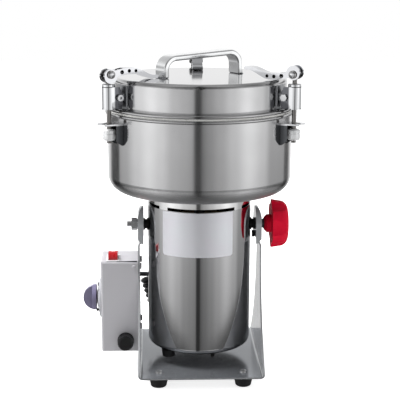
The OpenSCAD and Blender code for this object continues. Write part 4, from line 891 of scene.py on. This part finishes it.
def arm_line(share):
    """Height of a released lever's middle over its pin, at a share of its length."""
    return (-LEVER_DIP * smooth_step(share / DIP_SHARE)
            + (LEVER_DIP + LEVER_CURL) * smooth_step((share - TIP_FROM) / TIP_SHARE))


def make_lever_linings(number, materials):
    along = Matrix.Rotation(math.radians(CLAMP_ANGLES[number]), 3, "Z")
    across = along @ Vector((0, 1, 0))
    pieces = []
    for share, width in LEVER_HOLES:
        reach = share * LEVER_LENGTH
        rise = arm_line(share) * (1 if number == RELEASED else -1)
        place = along @ Vector((CLAMP_R - reach, 0, 0)) + Vector((0, 0, PIN_Z + rise))
        profile = [(HOLE_SHADE_IN, -HOLE_SHADE_HALF), (width / 2, -HOLE_SHADE_HALF), (width / 2, HOLE_SHADE_HALF),
                   (HOLE_SHADE_IN, HOLE_SHADE_HALF)]
        pieces.append(turned(f"hole_shade_{number}_{width}", profile, place, across, HOLE_SHADE_SIDES))
    hole_shades = join(pieces, f"lever_hole_shades_{number}")
    # These black rubber discs are painted shade inside the levers' holes
    settle(hole_shades, f"lever_{number}", materials["black_rubber"])


# Weld beads at the feet of the lid's handle, rippled along their length

HANDLE_TURN = math.radians(32)
HANDLE_HALF = 52.4
HANDLE_WIDTH = 20
WELD_STEPS = 22
WELD_R = 1.15
WELD_RIPPLE = 0.14
WELD_END_R = 0.7
WELD_IN = 0.1
WELD_LIFT = 0.1
WELD_SIDES = 16


def make_handle_welds(materials):
    along = Vector((math.cos(HANDLE_TURN), math.sin(HANDLE_TURN), 0))
    across = Vector((-along.y, along.x, 0))
    pieces = []
    for side in (-1, 1):
        profile = [(WELD_IN, 0)]
        for i in range(WELD_STEPS + 1):
            swell = WELD_R + WELD_RIPPLE * math.cos(math.pi * i)
            profile.append((swell if 0 < i < WELD_STEPS else WELD_END_R, i * HANDLE_WIDTH / WELD_STEPS))
        profile.append((WELD_IN, HANDLE_WIDTH))
        foot = side * HANDLE_HALF * along - across * HANDLE_WIDTH / 2 + Vector((0, 0, LID_TOP + WELD_LIFT))
        pieces.append(turned(f"weld_{side}", profile, foot, across, WELD_SIDES))
    welds = join(pieces, "handle_welds")
    settle(welds, "motor_unit", materials["weld"])


# Cross recesses in the heads of the feet's screws

FOOT_PLACES = [(x, y) for x in (-47.5, 47.5) for y in (-67, 67)]
RECESS_LENGTH, RECESS_WIDTH, RECESS_HEIGHT = 4.6, 1.1, 2.2
SCREW_EASE = 0.3


def make_foot_screws(materials):
    screws = edge_round("foot_screws", "stand", SCREW_EASE, materials["bright_steel"])
    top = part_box("foot_screws")[1][2]
    for bar in ((RECESS_LENGTH, RECESS_WIDTH, RECESS_HEIGHT), (RECESS_WIDTH, RECESS_LENGTH, RECESS_HEIGHT)):
        cutters = []
        for x, y in FOOT_PLACES:
            bpy.ops.object.select_all(action="DESELECT")
            bpy.ops.mesh.primitive_cube_add(size=MM, location=(x * MM, y * MM, top))
            bpy.context.object.scale = bar
            bpy.ops.object.transform_apply()
            cutters.append(bpy.context.object)
        cutter = join(cutters, "recess_cutter")
        recess = screws.modifiers.new("recess", "BOOLEAN")
        recess.object = cutter
        recess.operation = "DIFFERENCE"
        recess.solver = "EXACT"
        select_only(screws)
        bpy.ops.object.modifier_apply(modifier=recess.name)
        bpy.data.objects.remove(cutter)


# Studio: matt floor paper, which the camera sees lifted to white and mirrors don't see, so that polished metal
# shows the dark and light of the studio round it

FLOOR_R = 4.0
FLOOR_SIDES = 96
FLOOR_PAPER = "#DCDCDC"
FLOOR_LIFT = 0.78


def make_floor():
    bpy.ops.object.select_all(action="DESELECT")
    bpy.ops.mesh.primitive_circle_add(vertices=FLOOR_SIDES, radius=FLOOR_R, fill_type="NGON")
    floor = bpy.context.object
    floor.name = "studio_floor"
    floor.visible_glossy = False
    material = bpy.data.materials.new("white floor paper")
    material.use_nodes = True
    tree = material.node_tree
    tree.nodes.clear()
    output = add(tree, "ShaderNodeOutputMaterial")
    path = add(tree, "ShaderNodeLightPath")
    paper = add(tree, "ShaderNodeBsdfDiffuse", {"Color": linear(FLOOR_PAPER)})
    seen = add(tree, "ShaderNodeMath", {0: path.outputs["Is Camera Ray"], 1: path.outputs["Is Transmission Ray"]},
               operation="MAXIMUM")
    lift = add(tree, "ShaderNodeMath", {0: seen.outputs["Value"], 1: FLOOR_LIFT}, operation="MULTIPLY")
    glow = add(tree, "ShaderNodeEmission", {"Color": (1, 1, 1, 1), "Strength": lift.outputs["Value"]})
    both = add(tree, "ShaderNodeAddShader", {0: paper.outputs["BSDF"], 1: glow.outputs["Emission"]})
    tree.links.new(both.outputs["Shader"], output.inputs["Surface"])
    floor.data.materials.append(material)


# Brightness of the studio round the object, as polished metal shows it: by the angle from the front, left is minus
STUDIO_WALLS = [(-180, 0.95), (-160, 0.9), (-148, 0.1), (-123, 0.07), (-119, 0.5), (-108, 0.58), (-86, 0.96),
                (-67, 1.2), (-50, 0.98), (-35, 0.7), (-20, 0.6), (-11, 0.52), (-7, 0.08), (-2, 0.08), (3, 0.3),
                (9, 0.4), (24, 0.57), (40, 0.8), (61, 1.13), (84, 0.84), (98, 0.5), (127, 0.44), (131, 0.12),
                (146, 0.12), (160, 0.9), (180, 0.95)]
# Share of that brightness by the steepness of the view, from straight down to straight up
STUDIO_DEPTHS = [(-1, 0.15), (-0.8, 0.3), (-0.6, 0.65), (-0.5, 0.8), (-0.4, 0.7), (-0.345, 0.46), (-0.3, 0.58),
                 (-0.27, 0.68), (-0.18, 1.0), (-0.1, 1.3), (0.02, 1.2), (0.15, 0.75), (0.35, 0.4), (0.7, 0.25),
                 (0.9, 0.5), (1, 0.6)]
# Brightness of the backdrop and floor behind the object, by the steepness of the view, from down to up
BACKDROP_HEIGHTS = [(-1, 0.5), (-0.4, 0.8), (-0.1, 0.95), (0, 1.0), (0.32, 0.98), (0.5, 0.5), (0.75, 0.3),
                    (0.9, 0.5), (1, 0.6)]
# Where mirrors see that backdrop: straight behind, in a low strip and over the rear, each opening between two
# values of the view's Y or Z
BEHIND_Y = (0.78, 0.92)
STRIP_LOW_Z, STRIP_HIGH_Z, STRIP_Y = (-0.115, -0.095), (0.06, -0.02), (0.0, 0.35)
UPPER_Z, UPPER_Y = (0.14, 0.28), (0.0, 0.3)
# Dark flags low at both sides: their least angle from the front, and that angle's growth with the view's slope
FLAG_ANGLE = math.radians(95)
FLAG_SLOPE = -0.30
FLAG_SPREAD = math.radians(1570)
FLAG_FADE = (-0.2, 0.3)
FLAG_FOOT_Z = (-0.43, -0.37)
FLAG_LEVEL = 0.2
# Even light of the studio on everything that isn't a mirror
AMBIENT = 0.48


def fill_ramp(ramp, stops, low, high, interpolation):
    """Sets a colour ramp to stops of (place, level), with places from low to high."""
    ramp.interpolation = interpolation
    while len(ramp.elements) < len(stops):
        ramp.elements.new(0.5)
    for element, (place, _) in zip(ramp.elements, stops):
        element.position = (place - low) / (high - low)
    for element, (_, level) in zip(ramp.elements, stops):
        element.color = (level, level, level, 1)


def make_world():
    world = bpy.data.worlds.new("studio")
    bpy.context.scene.world = world
    world.use_nodes = True
    tree = world.node_tree
    tree.nodes.clear()
    output = add(tree, "ShaderNodeOutputWorld")
    path = add(tree, "ShaderNodeLightPath")
    towards = add(tree, "ShaderNodeTexCoord").outputs["Generated"]
    split = add(tree, "ShaderNodeSeparateXYZ", {"Vector": towards})
    forward = add(tree, "ShaderNodeMath", {0: split.outputs["Y"], 1: -1.0}, operation="MULTIPLY")
    angle = add(tree, "ShaderNodeMath", {0: split.outputs["X"], 1: forward.outputs["Value"]}, operation="ARCTAN2")
    turn = add(tree, "ShaderNodeMapRange", {"Value": angle.outputs["Value"], "From Min": -math.pi,
                                            "From Max": math.pi})
    walls = add(tree, "ShaderNodeValToRGB", {"Fac": turn.outputs["Result"]})
    fill_ramp(walls.color_ramp, STUDIO_WALLS, -180, 180, "EASE")
    slope = add(tree, "ShaderNodeMapRange", {"Value": split.outputs["Z"], "From Min": -1.0, "From Max": 1.0})
    depths = add(tree, "ShaderNodeValToRGB", {"Fac": slope.outputs["Result"]})
    fill_ramp(depths.color_ramp, STUDIO_DEPTHS, -1, 1, "LINEAR")
    low = add(tree, "ShaderNodeMix", {"Factor": 1.0, "A": walls.outputs["Color"], "B": depths.outputs["Color"]},
              data_type="RGBA", blend_type="MULTIPLY")
    width = add(tree, "ShaderNodeMath", {0: angle.outputs["Value"]}, operation="ABSOLUTE")
    edge = add(tree, "ShaderNodeMath", {0: split.outputs["Z"], 1: FLAG_SPREAD,
                                        2: FLAG_ANGLE - FLAG_SLOPE * FLAG_SPREAD}, operation="MULTIPLY_ADD")
    past = add(tree, "ShaderNodeMath", {0: width.outputs["Value"], 1: edge.outputs["Value"]}, operation="SUBTRACT")
    side = add(tree, "ShaderNodeMapRange", {"Value": past.outputs["Value"], "From Min": FLAG_FADE[0],
                                            "From Max": FLAG_FADE[1]})
    reach = add(tree, "ShaderNodeMapRange", {"Value": split.outputs["Z"], "From Min": FLAG_FOOT_Z[0],
                                             "From Max": FLAG_FOOT_Z[1]})
    flag = add(tree, "ShaderNodeMath", {0: side.outputs["Result"], 1: reach.outputs["Result"]},
               operation="MULTIPLY")
    shade = add(tree, "ShaderNodeMapRange", {"Value": flag.outputs["Value"], "To Min": 1.0, "To Max": FLAG_LEVEL})
    flagged = add(tree, "ShaderNodeMix", {"Factor": 1.0, "A": low.outputs["Result"], "B": shade.outputs["Result"]},
                  data_type="RGBA", blend_type="MULTIPLY")
    heights = add(tree, "ShaderNodeValToRGB", {"Fac": slope.outputs["Result"]})
    fill_ramp(heights.color_ramp, BACKDROP_HEIGHTS, -1, 1, "LINEAR")
    behind, above, under, wide, lofty, rear = (
        add(tree, "ShaderNodeMapRange", {"Value": split.outputs[axis], "From Min": start, "From Max": full})
        for axis, (start, full) in (("Y", BEHIND_Y), ("Z", STRIP_LOW_Z), ("Z", STRIP_HIGH_Z), ("Y", STRIP_Y),
                                    ("Z", UPPER_Z), ("Y", UPPER_Y)))
    level = add(tree, "ShaderNodeMath", {0: above.outputs["Result"], 1: under.outputs["Result"]},
                operation="MULTIPLY")
    strip = add(tree, "ShaderNodeMath", {0: level.outputs["Value"], 1: wide.outputs["Result"]},
                operation="MULTIPLY")
    upper = add(tree, "ShaderNodeMath", {0: lofty.outputs["Result"], 1: rear.outputs["Result"]},
                operation="MULTIPLY")
    back = add(tree, "ShaderNodeMath", {0: behind.outputs["Result"], 1: upper.outputs["Value"]},
               operation="MAXIMUM")
    white = add(tree, "ShaderNodeMath", {0: back.outputs["Value"], 1: strip.outputs["Value"]},
                operation="MAXIMUM")
    round_about = add(tree, "ShaderNodeMix", {"Factor": white.outputs["Value"], "A": flagged.outputs["Result"],
                                              "B": heights.outputs["Color"]}, data_type="RGBA")
    mirror = add(tree, "ShaderNodeMix", {"Factor": path.outputs["Is Glossy Ray"],
                                         "A": (AMBIENT, AMBIENT, AMBIENT, 1),
                                         "B": round_about.outputs["Result"]}, data_type="RGBA")
    seen = add(tree, "ShaderNodeMath", {0: path.outputs["Is Camera Ray"], 1: path.outputs["Is Transmission Ray"]},
               operation="MAXIMUM")
    colour = add(tree, "ShaderNodeMix", {"Factor": seen.outputs["Value"], "A": mirror.outputs["Result"],
                                         "B": (1, 1, 1, 1)}, data_type="RGBA")
    glow = add(tree, "ShaderNodeBackground", {"Color": colour.outputs["Result"], "Strength": 1.0})
    tree.links.new(glow.outputs["Background"], output.inputs["Surface"])


# Softboxes, which light the object but don't show in its mirrors: places and sizes in metres, powers in watts
LAMP_AIM = Vector((0, 0, 0.2))
LAMPS = {
    "left_softbox": {"place": (-1.4, -0.1, 0.9), "size": 0.9, "power": 8.0},
    "left_high_softbox": {"place": (-0.75, 0.0, 1.6), "size": 0.7, "power": 50.0},
    "right_softbox": {"place": (1.3, -0.7, 1.0), "size": 0.9, "power": 6.0},
    "top_softbox": {"place": (0.0, 0.1, 1.7), "size": 1.2, "power": 8.0},
}


def make_lamps():
    for name, lamp in LAMPS.items():
        bpy.ops.object.light_add(type="AREA")
        light = bpy.context.object
        light.name = name
        light.data.energy = lamp["power"]
        light.data.size = lamp["size"]
        place = Vector(lamp["place"])
        turn = (LAMP_AIM - place).to_track_quat("-Z", "Y").to_matrix().to_4x4()
        light.matrix_world = Matrix.Translation(place) @ turn
        light.visible_glossy = False


# Pieces with eased edges: node, body, width of the edge, slot and finish
EASED = [
    ("control_box", "stand", 0.4, "grey_paint", "grey_paint"),
    ("lid_lugs", "motor_unit", 0.4, "polished_steel", "polished_steel"),
    ("fuse_cap", "fuse_cap", 0.3, "black_plastic", "black_plastic"),
    ("timer_knob", "timer_knob", 0.8, "violet_grey_plastic", "violet_grey_plastic"),
    ("red_knob", "red_knob", 0.8, "red_plastic", "red_plastic"),
    ("handle", "motor_unit", 1.6, "chrome", "handle_steel"),
    ("keeper_brackets", "motor_unit", 0.35, "polished_steel", "bracket_steel"),
    ("stand_frame", "stand", 0.5, "polished_steel", "stand_steel"),
]
LEVER_EASE, ROD_EASE = 0.6, 0.3

bpy.context.scene.view_settings.view_transform = "Standard"
make_camera()
materials = make_materials()
dress_nodes(materials)
make_cord(materials)
make_drum_film(materials)
make_dial_scale(materials)
make_knob_pointer(materials)
make_rocker_marks(materials)
make_cover_seam(materials)
make_ribbed_glands(materials)
make_handle_welds(materials)
make_foot_screws(materials)
for node, body, width, slot, finish in EASED:
    edge_round(node, body, width, materials[finish])
for number in CLAMP_ANGLES:
    make_clamp_nut(number, materials)
    make_barrel_washer(number, materials)
    make_pin_heads(number, materials)
    make_lever_linings(number, materials)
    edge_round(f"clamp_lever_{number}", f"lever_{number}", LEVER_EASE, materials["lever_chrome"])
    edge_round(f"clamp_rod_{number}", f"clamp_{number}", ROD_EASE, materials["rod_steel"])
make_floor()
make_world()
make_lamps()
